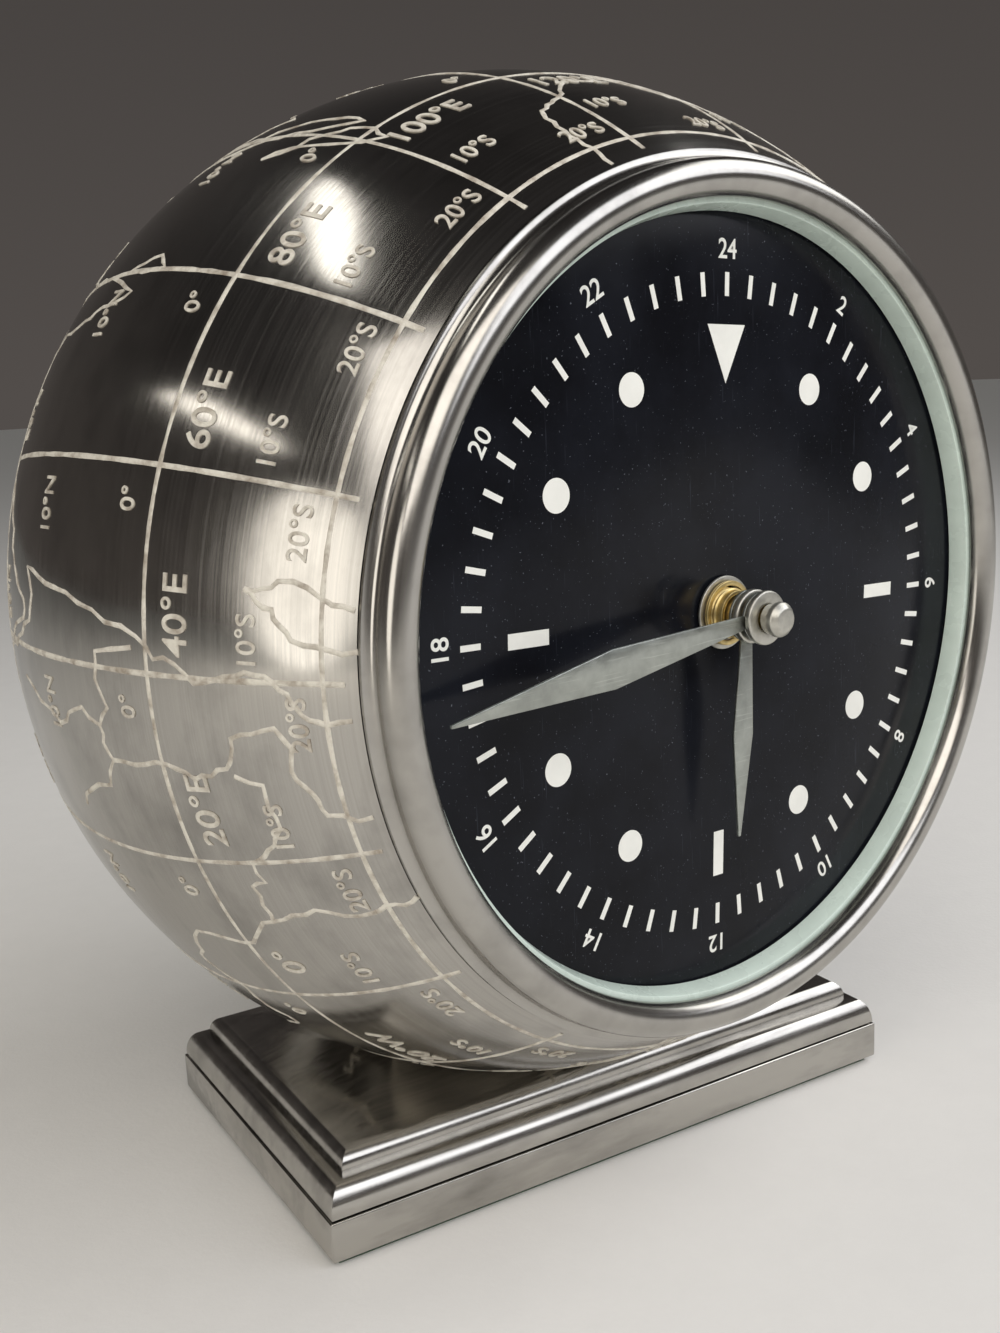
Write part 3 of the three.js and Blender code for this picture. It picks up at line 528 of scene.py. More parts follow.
def stamped_aluminium(tree, value):
    # Silvered aluminium sheet, stamped and matted: dull grey, with fine pits 0.4 mm apart, cloudy
    # patches and hairline scratches across the blade.
    patches = grain(tree, 4, detail=4.0)
    scratches = grain(tree, (9, 9, 0.35), 0.0, 0.6, (0.62, 0.70), 1.0)
    return (value, [(patches, shaded(value, 0.76)), (scratches, shaded(value, 1.25))],
            [(grain(tree, 0.4), 0.010)], {"Metallic": 1.0, "Roughness": grain(tree, 3, 0.30, 0.44)})


def zinc_plated_steel(tree, value):
    # Zinc plate on turned and stamped steel: bluish grey, half dull, with a crystal bloom 1.5 mm across.
    return (value, [(grain(tree, 1.5), shaded(value, 0.75))], [(grain(tree, 0.5), 0.008)],
            {"Metallic": 1.0, "Roughness": grain(tree, 2, 0.26, 0.40)})


def enamelled_copper(tree, value):
    # A winding of enamelled copper wire: glossy orange-brown turns, drawn 0.35 mm apart along the coil,
    # which is coarser than the real wire.
    turns = grain(tree, (0.35, 30, 30), detail=0.0)
    return value, [(turns, shaded(value, 0.5))], [(turns, 0.06)], {"Metallic": 1.0, "Roughness": 0.3}


def battery_sleeve(tree, value):
    # The printed plastic film round a battery: glossy grey with a dark band at its positive end.
    place = add_node(tree, "ShaderNodeTexCoord")
    along = add_node(tree, "ShaderNodeSeparateXYZ", {0: place.outputs["Object"]})
    band = add_node(tree, "ShaderNodeMath", {0: along.outputs["X"], 1: SLEEVE_BAND_END}, operation="LESS_THAN")
    return (value, [(grain(tree, (6, 3, 3)), shaded(value, 0.85)), (band.outputs[0], linear("26272b"))],
            [(grain(tree, (5, 2, 2)), 0.02)], {"Roughness": grain(tree, 8, 0.2, 0.32)})


def moulded_plastic(tree, value, rough=(0.42, 0.56), pit=0.5, depth=0.012, change=0.86, ior=1.5):
    # Injection-moulded plastic: even in colour, with the fine pitting of a spark-eroded mould, drawn
    # pit mm apart, and slow changes of gloss.
    return (value, [(grain(tree, 8), shaded(value, change))], [(grain(tree, pit), depth)],
            {"Roughness": grain(tree, 6, *rough), "IOR": ior})


def printed_ink(tree, value):
    # White ink screen-printed on lacquer: flat and opaque, with a fine mesh grain 0.4 mm apart and
    # slightly thinner patches.
    return moulded_plastic(tree, value, (0.45, 0.6), 0.4, 0.004, 0.92)


def rolled_paper(tree, value):
    # Matt background paper from a roll: almost even, with a faint fibre grain 1.2 mm apart.
    return moulded_plastic(tree, value, (0.8, 0.9), 1.2, 0.02, 0.985, 1.4)


def enamel_filling(tree, value):
    # Cream enamel rubbed into the engraving: dull and chalky, worn thin and browned in places, with
    # crumbly edges 0.6 mm apart.
    worn = grain(tree, 2.5, reach=(0.42, 0.72), detail=5.0)
    return (value, [(worn, linear("95897a"))], [(grain(tree, 0.6), 0.05)],
            {"Roughness": grain(tree, 2, 0.5, 0.72)})


def black_lacquer(tree, value):
    # Gloss black stoving lacquer: deep and faintly blue, with dust specks drawn 0.35 mm across, a soft
    # bloom and hairline scratches from wiping.
    bloom = grain(tree, 20, detail=4.0)
    dust = grain(tree, 0.35, reach=(0.74, 0.80), detail=1.0)
    hair = grain(tree, (0.35, 14, 9), 0.0, 0.35, (0.71, 0.78), 1.0, 0.4)
    waves = grain(tree, 26, reach=(0.2, 0.8), detail=1.0)
    return (value, [(bloom, linear("1a1c22")), (dust, linear("6a6d76")), (hair, linear("3a3d46"))],
            [(waves, 0.05)], {"Roughness": grain(tree, 18, 0.12, 0.22), "IOR": 1.22})


def wool_felt(tree, value):
    # Pressed wool felt: matt, with tufts 0.6 mm apart and a soft sheen at its edge.
    tufts = grain(tree, 0.6, detail=6.0)
    return value, [(tufts, shaded(value, 1.6))], [(tufts, 0.15)], {"Roughness": 0.95, "Sheen Weight": 0.4}


# Each finish: its recipe, its material's name, its colour, as a name in FinishColours or six hex digits,
# and what else the recipe is told
FINISHES = {
    "plate": (spun_nickel, "nickel_plate_on_spun_brass", "plate"),
    "trim": (turned_nickel, "nickel_plate_on_turned_brass", "plate"),
    "base": (pressed_nickel, "nickel_plate_on_pressed_steel", "plate"),
    "satin": (satin_nickel, "satin_nickel_turned", "satin"),
    "brass": (turned_brass, "turned_brass", "brass"),
    "blade": (stamped_aluminium, "silvered_aluminium_stamped", "blade"),
    "filling": (enamel_filling, "cream_enamel_rubbed_in", "filling"),
    "lacquer": (black_lacquer, "black_lacquer_stoved", "lacquer"),
    "ink": (printed_ink, "white_ink_screen_printed", "ink"),
    "spacer": (moulded_plastic, "polystyrene_moulded", "spacer", (0.22, 0.34), 3.0, 0.01, 0.9, 1.58),
    "steel": (zinc_plated_steel, "zinc_plate_on_steel", "a3a4a2"),
    "black": (moulded_plastic, "abs_moulded_black", "1b1b1d"),
    "white": (moulded_plastic, "acetal_moulded_white", "e4e2da", (0.35, 0.5)),
    "board": (moulded_plastic, "glass_epoxy_board", "24512c", (0.3, 0.45)),
    "copper": (enamelled_copper, "enamelled_copper_wound", "b4602f"),
    "sleeve": (battery_sleeve, "battery_film_printed", "8d8f92"),
    "felt": (wool_felt, "wool_felt_pressed", "2c4a34"),
    "paper": (rolled_paper, "matt_paper_floor", "e9e7e3"),
}
MATERIALS = {}


def material_of(finish):
    """The material of a finish, made from its recipe when it is first asked for."""
    if finish in MATERIALS:
        return MATERIALS[finish]
    recipe, name, code, *rest = FINISHES[finish]
    tones = bpy.context.scene.clock_finish
    material = MATERIALS[finish] = bpy.data.materials.new(name)
    material.use_nodes = True
    tree = material.node_tree
    tree.nodes.clear()
    value = [*getattr(tones, code), 1.0] if hasattr(tones, code) else linear(code)
    tone, coats, reliefs, settings = recipe(tree, value, *rest)
    for share, coat in coats:
        tone = add_node(tree, "ShaderNodeMix", {"Factor": share, 6: tone, 7: coat}, data_type="RGBA").outputs[2]
    normal = {}
    for height, depth in reliefs:
        bump = add_node(tree, "ShaderNodeBump", {"Distance": depth * MM, "Height": height, **normal})
        normal = {"Normal": bump.outputs["Normal"]}
    shader = add_node(tree, "ShaderNodeBsdfPrincipled", {"Base Color": tone, **settings, **normal})
    add_node(tree, "ShaderNodeOutputMaterial", {"Surface": shader.outputs["BSDF"]})
    return material


# Carried-over CAD nodes and the finish each one gets
CARRIED = {
    "steel": ["swivel_screw", "swivel_spring_washer", "swivel_lock_nut", "bezel_screw_1", "bezel_screw_2",
              "bezel_screw_3", "stator", "rotor"],
    "brass": ["swivel_saddle", "dial_seat_ring", "rear_seat_ring", "battery_contact_plus",
              "battery_contact_minus", "minute_arbor", "hour_wheel"],
    "black": ["movement_case", "movement_lid"],
    "white": ["motion_wheel", "third_wheel", "setting_knob"],
    "board": ["circuit_board"],
    "copper": ["coil"],
    "sleeve": ["battery"],
    "felt": ["base_felt"],
}


class CLOCK_OT_carried(bpy.types.Operator):
    """Give the carried-over frame pieces their finishes"""
    bl_idname = "clock.carried"
    bl_label = "Inner Pieces"

    def execute(self, context):
        for finish, names in CARRIED.items():
            for name in names:
                give_finish(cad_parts[name].data, finish)
        return {"FINISHED"}


# Globe

def shell_profile(wall):
    """The shell's section: outer skin from front edge to rear opening, and back along the inside."""
    inside = GLOBE_RADIUS - wall
    rear_radius = radius_of("rear_cover") + CLEARANCE
    outer = arc_profile(GLOBE_RADIUS, math.acos(FRONT_PLANE / GLOBE_RADIUS),
                        math.pi - math.asin(rear_radius / GLOBE_RADIUS), SHELL_STEPS)
    inner = arc_profile(inside, math.pi - math.asin(rear_radius / inside),
                        math.acos(FRONT_PLANE / inside), SHELL_STEPS // 4)
    return outer + inner


class CLOCK_OT_globe(bpy.types.Operator):
    """Make the spun and plated globe"""
    bl_idname = "clock.globe"
    bl_label = "Globe"

    def execute(self, context):
        bm = bmesh.new()
        turn_profile(bm, shell_profile(context.scene.clock_globe.wall))
        hole = upright_rod(context.scene.clock_base.screw_hole, SHELL_LOW.z - OVERRUN, SHELL_LOW.z + OVERRUN)
        cut_piece("globe_skin", bm, [hole], "plate", "globe", "globe_shell")
        return {"FINISHED"}


# How the hand-engraved map departs from an even one: how far its meridians sway and where that starts, and
# the spacing of its latitudes, as shares of an even one, south of the equator and north of it in the tropics
SWAY, SWAY_START = math.radians(1.72), math.radians(299)
SOUTH_STRETCH, NORTH_STRETCH, TROPICS_END = 0.925, 1.85, 20


def map_angle(longitude):
    """Clockwise angle from up of a longitude."""
    plain = bpy.context.scene.clock_globe.map_turn + math.radians(longitude)
    return plain - SWAY * math.sin(plain - SWAY_START)


def map_rise(latitude):
    """Angle before the globe's middle of a latitude. South faces the dial."""
    equator = bpy.context.scene.clock_globe.equator
    if latitude <= 0:
        return equator - math.radians(latitude) * SOUTH_STRETCH
    if latitude <= TROPICS_END:
        return equator - math.radians(latitude) * NORTH_STRETCH
    return -math.radians(latitude)


def globe_point(around, rise, radius):
    """The place at an angle clockwise from up and another before the globe's middle."""
    return GLOBE_CENTRE + Vector((
        radius * math.cos(rise) * math.sin(around), -radius * math.sin(rise),
        radius * math.cos(rise) * math.cos(around)))


# Simplified coasts, in degrees of longitude and latitude
COASTS = {
    "africa": [
        (14, -25), (12, -18), (13.5, -12), (12.2, -6), (9, -1), (9.5, 4), (4.5, 6.3), (-4, 5.2), (-8, 4.4),
        (-13.2, 8.5), (-17, 14), (-16, 20), (-13, 27), (-9.5, 31), (-6, 35.5), (0, 35.8), (10, 37), (10.5, 34),
        (15, 32), (20, 31), (25, 31.7), (32, 31), (34, 28), (37, 21), (39.5, 15.5), (43, 11.8), (48.5, 12),
        (47, 8), (44.5, 3), (41.5, -1), (39.5, -6), (40.5, -11), (40, -15), (35.5, -20), (35.4, -25)],
    "madagascar": [
        (49.3, -12), (50.4, -15.5), (48.5, -21), (47, -25), (44, -25), (43.3, -22), (44.5, -17), (47.5, -15),
        (49.3, -12)],
    "eurasia": [
        (32.5, 30), (34.8, 28), (39, 21.5), (43, 13), (45, 12.8), (52, 16), (57, 18.5), (59.8, 22.5),
        (56.5, 24.5), (51.5, 24.5), (48, 30), (50.5, 29), (57, 26.8), (61, 25.2), (66.8, 25), (70, 21),
        (72.8, 19), (74.5, 13.5), (77.5, 8), (80, 12), (80.3, 15.5), (85, 19.8), (88.5, 21.8), (91.8, 22.5),
        (94.3, 18), (94.5, 16), (97.3, 16.5), (98.5, 10), (100.5, 5.5), (103.5, 1.4), (103.3, 4.5), (100.3, 8.5),
        (100.2, 13.3), (102.5, 12), (105, 8.7), (109.2, 12), (108.8, 15.5), (105.8, 19.5), (108.5, 21.6),
        (113.5, 22.2), (118.5, 24.5), (121.8, 29.5), (119.5, 35), (122.4, 37), (118, 39), (121.5, 39),
        (125, 39.7), (126.5, 34.5), (129.3, 36), (127.8, 39.8), (131, 42.8), (135.5, 43.8), (140.3, 48.5),
        (141, 53), (136.5, 54), (142, 59), (155, 59.2), (156, 51.2), (162, 56), (163.5, 61), (170, 60),
        (179, 62.5), (190, 66.2), (180, 69), (170, 70), (150, 72), (130, 71.5), (113, 74), (104, 77.6), (87, 75),
        (73, 71.5), (68, 68.5), (60, 69), (46, 68), (40, 65), (34, 66.8), (41, 67), (35, 69.3), (25.5, 71),
        (17, 69), (12, 65), (5, 61.5), (6, 58.2), (11, 59), (13, 55.5), (16.5, 57), (18.5, 60), (17.5, 62),
        (22, 65.8), (25, 65), (21.5, 61), (29, 60), (24, 58), (21, 55.5), (14, 54), (10.5, 54.5), (9.5, 57.5),
        (8.5, 54), (4, 51.8), (1.5, 50), (-1.5, 49), (-4.5, 48.4), (-1.5, 46), (-1.5, 43.4), (-9, 43), (-9, 38),
        (-6, 36.5), (-2, 36.8), (0, 39.5), (3.2, 42.2), (7, 43.5), (9, 44.3), (12.5, 41.5), (16, 38), (18.3, 40),
        (13, 43.8), (13.8, 45.5), (19.5, 41.8), (22.8, 36.6), (24, 40.5), (26.5, 40.5), (27, 37), (30.5, 36.4),
        (36, 36.3), (35, 32), (32.5, 30)],
    "britain": [
        (-5.5, 50), (1.3, 51.3), (-2, 56), (-3, 58.6), (-5.5, 56), (-3, 54), (-5.2, 51.8), (-5.5, 50)],
    "ireland": [
        (-6, 52.2), (-10, 52), (-9.8, 54.3), (-6, 55), (-6, 52.2)],
    "iceland": [
        (-24, 65.5), (-15, 66.3), (-13.7, 65), (-19, 63.4), (-24, 65.5)],
    "japan": [
        (130.5, 31.5), (135.5, 33.7), (140.5, 35.3), (141.5, 40.5), (145, 43.5), (141.8, 45.3), (140, 41.5),
        (136.5, 36.8), (131, 34), (130.5, 31.5)],
    "philippines": [
        (121, 14), (122, 18.5), (124, 13), (126.3, 7), (122, 7), (121, 14)],
    "sumatra": [
        (95.5, 5.5), (100.3, 2.5), (102.5, 0), (101.5, -2.8), (98.5, 1.5), (95.5, 5.5)],
    "new_guinea": [
        (131, -0.8), (138, -1.6), (145, -4.3), (150.7, -10.3), (143.5, -9), (138, -8.3), (133.5, -3.8),
        (131, -0.8)],
    "ceylon": [
        (80, 9.7), (81.8, 7), (80.3, 6), (79.8, 8), (80, 9.7)],
    "australia": [
        (114, -25), (113.7, -17), (114.4, -13), (117, -10.6), (120.2, -9.2), (123, -6.4), (126, -4.2),
        (129, -4.9), (131, -2.5), (136.7, -2.2), (136, -5), (139.5, -7.5), (141.7, -5), (142.5, -0.8),
        (145.3, -5), (147.5, -9.5), (151, -14), (153.5, -19), (153, -25)],
    "north_america": [
        (-168, 65.6), (-161, 64), (-165, 61), (-158, 58.5), (-163, 55), (-152, 59.5), (-146, 60.8), (-137, 58.5),
        (-131, 54), (-124, 48.5), (-124, 41), (-120.5, 34.5), (-117, 32.5), (-112, 25), (-110, 23.5),
        (-114.5, 30), (-109, 26), (-105.5, 20.5), (-97, 16), (-92, 14.5), (-87, 12.5), (-83, 8.5), (-79, 8.9),
        (-82, 9.5), (-83.5, 15), (-88.5, 16), (-87, 21.3), (-90.5, 21), (-95, 18.5), (-97.7, 22.5), (-97, 27.8),
        (-90, 29.2), (-84, 30), (-82.5, 27.5), (-80.5, 25.3), (-81.3, 31), (-75.7, 35.3), (-74, 40.5), (-70, 42),
        (-66, 44.5), (-61, 45.7), (-65, 48.5), (-60, 50.2), (-56, 53), (-62, 58), (-70, 61), (-78, 62), (-77, 57),
        (-79.5, 51.5), (-85, 55.3), (-94, 59), (-93, 63), (-86, 67), (-95, 68.5), (-108, 68), (-125, 70),
        (-141, 69.6), (-156, 71.2), (-166, 68.5), (-168, 65.6)],
    "greenland": [
        (-45, 60.2), (-52, 65), (-54, 70), (-68, 76), (-60, 82), (-32, 83.4), (-19, 80), (-20, 75), (-25, 70.5),
        (-36, 66), (-45, 60.2)],
    "baffin": [
        (-65, 62), (-75, 65), (-85, 70), (-80, 73.5), (-68, 70), (-62, 66.5), (-65, 62)],
    "cuba": [
        (-84.8, 21.9), (-80, 23), (-74.3, 20.2), (-77.5, 19.9), (-84.8, 21.9)],
    "south_america": [
        (-70.5, -25), (-70.2, -18.5), (-76, -14), (-79.5, -7), (-81, -4.5), (-79.8, -2), (-80, 1), (-77.4, 4),
        (-77.5, 8.5), (-75.5, 10.7), (-72, 12), (-68, 10.7), (-62, 10.6), (-57, 6), (-51.5, 4.3), (-49, 0),
        (-44, -2.6), (-39, -3.5), (-35, -6.5), (-37, -11.5), (-39, -17), (-41, -22), (-46, -25)],
    "west_border": [
        (12, -6), (17, -6), (17.5, -8), (20, -7.5), (22, -11), (24, -12.5), (29, -12), (30, -9)],
    "lake_border": [
        (30.5, 4), (31, 0.5), (29.5, -4), (30.8, -8.3), (34, -9.5), (35.2, -14.5), (33, -16), (30.5, -15.5),
        (27, -17.5), (25.2, -18), (24, -24)],
    "coast_border": [
        (34, 4.5), (36, 3.5), (41.5, 4), (42.4, 1)],
    "north_border": [
        (24, 9), (27.5, 5), (30.5, 4), (34, 4.5), (35.5, 6), (33, 9), (36.5, 14)],
}


# How far a line's width strays, as a share of it
UNEVENNESS = 0.05

# A coast is broken until no reach of it is longer than this many degrees, and each middle is shifted
# sideways by up to this share of the reach
LONGEST_REACH, REACH_SHIFT = 1.6, 0.16


def roughened(points, seed):
    """Breaks the reaches of a coast in two until they are short, and shifts each middle sideways."""
    draw = random.Random(seed)
    line = [Vector(p) for p in points]
    while True:
        broken = [line[0]]
        for a, b in zip(line, line[1:]):
            step = b - a
            if step.length > LONGEST_REACH:
                side = Vector((-step.y, step.x))
                broken.append((a + b) / 2 + side * draw.uniform(-REACH_SHIFT, REACH_SHIFT))
            broken.append(b)
        if len(broken) == len(line):
            return line
        line = broken


def round_bar(width, rise):
    """Radius of a round bar that shows width at the surface when it stands up by rise."""
    return ((width / 2) ** 2 + rise ** 2) / (2 * rise)


def within(points, lowest, highest):
    """Splits a line into the stretches whose rise lies within two angles."""
    runs, run = [], []
    for around, rise in points:
        if lowest <= rise <= highest:
            run.append((around, rise))
        elif run:
            runs.append(run)
            run = []
    runs.append(run)
    return [r for r in runs if len(r) > 1]


# The engraved parallels, and the rises in half degrees that a meridian's points have
PARALLELS = (-20, 0, 20, 40, 60, 80)
MERIDIAN_RISES = range(78, -178, -3)


def grid_lines():
    """Meridians and parallels as lists of (around, rise) points."""
    step = round(math.degrees(bpy.context.scene.clock_globe.grid_step))
    return [[(map_angle(longitude), math.radians(rise / 2)) for rise in MERIDIAN_RISES]
            for longitude in range(0, 360, step)] + [
        [(map_angle(degree), map_rise(latitude)) for degree in range(0, 361, 2)] for latitude in PARALLELS]


def engraving(name, lines, width, body, lowest, highest):
    """Fills the stretches of lines between two rises with a round bar, a little uneven in width."""
    draw = random.Random(len(name))
    rise = bpy.context.scene.clock_globe.line_rise
    bar = round_bar(width, rise)
    curve = bpy.data.curves.new(name, "CURVE")
    curve.dimensions = "3D"
    curve.bevel_depth = bar
    curve.bevel_resolution = 3
    curve.use_fill_caps = True
    for run in (run for line in lines for run in within(line, lowest, highest)):
        spline = curve.splines.new("POLY")
        spline.points.add(len(run) - 1)
        for point, (around, place) in zip(spline.points, run):
            point.co = (*globe_point(around, place, GLOBE_RADIUS - (bar - rise)), 1)
            point.radius = draw.uniform(1 - UNEVENNESS, 1 + UNEVENNESS)
    bm = bmesh.new()
    take(bm, mesh_of_curve(curve))
    clean(bm)
    finish_bmesh(name, bm, "filling", body, sharp=60)


# The degree figures stand in columns this many degrees apart. Each has its place in degrees east of the
# column, and its latitude.
COLUMN_STEP = 20
MERIDIAN_FIGURE = (6.0, -4.2)
PARALLEL_FIGURES = (("20°S", 15.5, -17.2), ("10°S", 4.0, -12.4), ("0°", 16.5, 1.7), ("10°N", 15.0, 9.5),
                    ("20°N", 5.0, 17.6), ("30°N", 14.0, 31.0), ("40°N", 6.0, 43.0))


def meridian_figures(longitude):
    """A meridian's degree figures, such as 40°E."""
    if longitude in (0, 180):
        return f"{longitude}°"
    return f"{longitude}°E" if longitude < 180 else f"{360 - longitude}°W"


def bent_figures(bm, words, longitude, latitude, height, rise):
    """Lays figures on the globe, reading eastwards with their tops to the north."""
    mesh = text_mesh(words, height, rise, height * MAP_FIGURE_WEIGHT)
    around, place = map_angle(longitude), map_rise(latitude)
    for vertex in mesh.vertices:
        x, y, z = vertex.co
        turn = x / (GLOBE_RADIUS * math.cos(place))
        vertex.co = globe_point(around + turn, place - y / GLOBE_RADIUS, GLOBE_RADIUS + z)
    take(bm, mesh)


# How far the engraving stops short of an edge, and the rise at which the cover's lines end, near its middle
EDGE_MARGIN = 1.3 * MM
CAP_MIDDLE = math.radians(-88.5)


class CLOCK_OT_map(bpy.types.Operator):
    """Engrave the grid, the coasts and the degree figures"""
    bl_idname = "clock.map"
    bl_label = "Engraved Map"

    def execute(self, context):
        sizes = context.scene.clock_globe
        rim = radius_of("rear_cover")
        front_end = math.acos((radius_of("bezel") - CLEARANCE) / GLOBE_RADIUS)
        rear_end = -math.acos((rim + EDGE_MARGIN) / GLOBE_RADIUS)
        cap_end = -math.acos((rim - EDGE_MARGIN) / GLOBE_RADIUS)
        coasts = [[(map_angle(p.x), map_rise(p.y)) for p in roughened(points, seed)]
                  for seed, points in enumerate(COASTS.values())]
        for part, body, lowest, highest in (("map", "globe", rear_end, front_end),
                                            ("cap", "back_cap", CAP_MIDDLE, cap_end)):
            engraving(part + "_grid", grid_lines(), sizes.line_width, body, lowest, highest)
            engraving(part + "_coasts", coasts, sizes.coast_width, body, lowest, highest)
        self.figures(sizes)
        return {"FINISHED"}

    def figures(self, sizes):
        """Lays all the degree figures, each with half of its thickness in the metal."""
        bm = bmesh.new()
        columns, rise = range(0, 360, COLUMN_STEP), 2 * sizes.line_rise
        for longitude in columns:
            east, latitude = MERIDIAN_FIGURE
            bent_figures(bm, meridian_figures(longitude), longitude + east, latitude, sizes.figure_height, rise)
        for longitude in columns:
            for words, east, latitude in PARALLEL_FIGURES:
                bent_figures(bm, words, longitude + east, latitude, sizes.small_figure_height, rise)
        clean(bm)
        finish_bmesh("map_figures", bm, "filling", "globe", sharp=40)


# Rear cover

class CLOCK_OT_rear_cover(bpy.types.Operator):
    """Make the pull-out rear cover with its slotted spigot and nail notch"""
    bl_idname = "clock.rear_cover"
    bl_label = "Rear Cover"

    def execute(self, context):
        sizes = context.scene.clock_cover
        rim, spigot_front = radius_of("rear_cover"), front_of("rear_cover")
        seat_back = back_of("rear_seat_ring")
        rim_front = seat_back - CLEARANCE
        spigot = radius_of("rear_seat_ring") - sizes.seat_wall - CLEARANCE
        spigot_inner = spigot - sizes.spigot_wall
        inside = GLOBE_RADIUS - context.scene.clock_globe.wall
        outer = arc_profile(GLOBE_RADIUS, math.pi, math.pi - math.asin(rim / GLOBE_RADIUS), COVER_STEPS)
        inner = arc_profile(inside, math.pi - math.asin(spigot_inner / inside), math.pi, COVER_STEPS // 2)
        outer[0], inner[-1] = (0.0, -GLOBE_RADIUS), (0.0, -inside)
        bm = bmesh.new()
        turn_profile(bm, [*outer, (rim, rim_front), (spigot, rim_front), (spigot, spigot_front),
                          (spigot_inner, spigot_front), *inner])
        slots = [self.slot(sizes.slot_width, spigot, seat_back, spigot_front, quarter) for quarter in range(4)]
        cut_piece("rear_cap", bm, [*slots, self.notch(sizes, rim, rim_front)], "plate", "back_cap", "rear_cover")
        return {"FINISHED"}

    def slot(self, width, spigot, seat_back, spigot_front, quarter):
        cutter = block((-width / 2, -spigot_front - OVERRUN, 0),
                       (width / 2, -seat_back - CLEARANCE, spigot + OVERRUN))
        turn = Matrix.Rotation(math.tau * (quarter + 0.5) / 4, 4, "Y")
        bmesh.ops.transform(cutter, verts=cutter.verts, matrix=Matrix.Translation(GLOBE_CENTRE) @ turn)
        return cutter

    def notch(self, sizes, rim, rim_front):
        foot = GLOBE_CENTRE.z - rim
        return block((-sizes.notch_width / 2, -rim_front - OVERRUN, foot - OVERRUN),
                     (sizes.notch_width / 2, GLOBE_RADIUS, foot + sizes.notch_depth))


# Dial side

class CLOCK_OT_dial(bpy.types.Operator):
    """Make the dial plate and its print"""
    bl_idname = "clock.dial"
    bl_label = "Dial"

    def execute(self, context):
        sizes = context.scene.clock_dial
        hole = context.scene.clock_hub.bush_radius + CLEARANCE
        face, back, edge = front_of("dial_plate"), back_of("dial_plate"), radius_of("dial_plate")
        turned("dial_face", ring(hole, edge, back, face), "lacquer", "globe", "dial_plate", DIAL_EDGE)
        self.marks(sizes, face)
        self.figures(sizes, face)
        return {"FINISHED"}

    def marks(self, sizes, face):
        bm = bmesh.new()
        for minute in range(60):
            self.bar(bm, sizes, minute * MINUTE_STEP, sizes.tick_circle, sizes.tick_length, sizes.tick_width,
                     face)
        for hour in range(1, 12):
            if hour % 3:
                self.dot(bm, sizes, hour * MARK_STEP, face)
            else:
                self.bar(bm, sizes, hour * MARK_STEP, sizes.mark_circle, sizes.bar_length, sizes.bar_width,
                         face)
        self.triangle(bm, sizes, face)
        finish_bmesh("dial_marks", bm, "ink", "globe")

    def place(self, sizes, degrees, radius, front):
        return dial_frame(math.radians(degrees) + sizes.roll, radius, front)

    def bar(self, bm, sizes, degrees, radius, long, wide, face):
        made = bmesh.ops.create_cube(bm, size=1.0)["verts"]
        bmesh.ops.scale(bm, verts=made, vec=(wide, long, sizes.print_rise))
        bmesh.ops.transform(bm, verts=made, matrix=self.place(sizes, degrees, radius, face))

    def dot(self, bm, sizes, degrees, face):
        made = bmesh.ops.create_cone(
            bm, cap_ends=True, segments=ROD_SIDES, radius1=sizes.dot_diameter / 2,
            radius2=sizes.dot_diameter / 2, depth=sizes.print_rise)["verts"]
        bmesh.ops.transform(bm, verts=made, matrix=self.place(sizes, degrees, sizes.mark_circle, face))

    def triangle(self, bm, sizes, face):
        half, tall, rise = sizes.triangle_width / 2, sizes.triangle_height, sizes.print_rise
        corners = [bm.verts.new(p) for p in ((-half, tall / 2, -rise / 2), (0, -tall / 2, -rise / 2),
                                             (half, tall / 2, -rise / 2))]
        lifted = extruded(bm, bm.faces.new(corners))[1]
        bmesh.ops.translate(bm, verts=lifted, vec=(0, 0, rise))
        bmesh.ops.transform(bm, verts=corners + lifted, matrix=self.place(sizes, 0, sizes.mark_circle, face))
        bmesh.ops.recalc_face_normals(bm, faces=list({f for v in corners + lifted for f in v.link_faces}))

    def figures(self, sizes, face):
        bm = bmesh.new()
        for hour in range(2, 26, 2):
            mesh = text_mesh(str(hour), sizes.figure_height, sizes.print_rise, DIAL_FIGURE_WEIGHT)
            mesh.transform(self.place(sizes, hour * HOUR_STEP, sizes.figure_circle, face))
            take(bm, mesh)
        clean(bm)
        finish_bmesh("dial_figures", bm, "ink", "globe")


class CLOCK_OT_bezel(bpy.types.Operator):
    """Make the bezel and the spacer ring behind it"""
    bl_idname = "clock.bezel"
    bl_label = "Bezel"

    def execute(self, context):
        sizes = context.scene.clock_bezel
        dial_edge = radius_of("dial_plate")
        back, front = back_of("spacer_ring"), front_of("spacer_ring")
        inner = dial_edge - sizes.spacer_width
        turned("pale_spacer", [(inner, back), (dial_edge, back), (dial_edge, front),
                               (inner + sizes.spacer_draft, front)],
               "spacer", "globe", "spacer_ring", SPACER_EDGE)
        self.bezel(sizes, dial_edge, front)
        return {"FINISHED"}

    def bezel(self, sizes, dial_edge, spacer_front):
        back, front, foot = back_of("bezel"), front_of("bezel"), radius_of("bezel")
        bead, cove = sizes.bead_radius, sizes.cove_radius
        circle, centre = dial_edge + sizes.bead_outset, front - bead
        rebate, lip = dial_edge + CLEARANCE, spacer_front + CLEARANCE
        profile = [(rebate, back), (rebate, lip), (circle - bead, lip)]
        profile += arc_profile(bead, -math.pi / 2, math.pi / 2, BEAD_STEPS, (circle, centre))
        profile += arc_profile(cove, -math.pi / 2, -math.pi, ROLL_STEPS, (foot, back + sizes.foot_height + cove))
        profile += [(foot, back)]
        turned("bezel_ring", profile, "trim", "globe", "bezel", sharp=50)


# Hub and hands

# Where a thread's ridge starts, is highest and ends, as shares of its pitch
RIDGE_SHARES = (0, 0.42, 0.84)


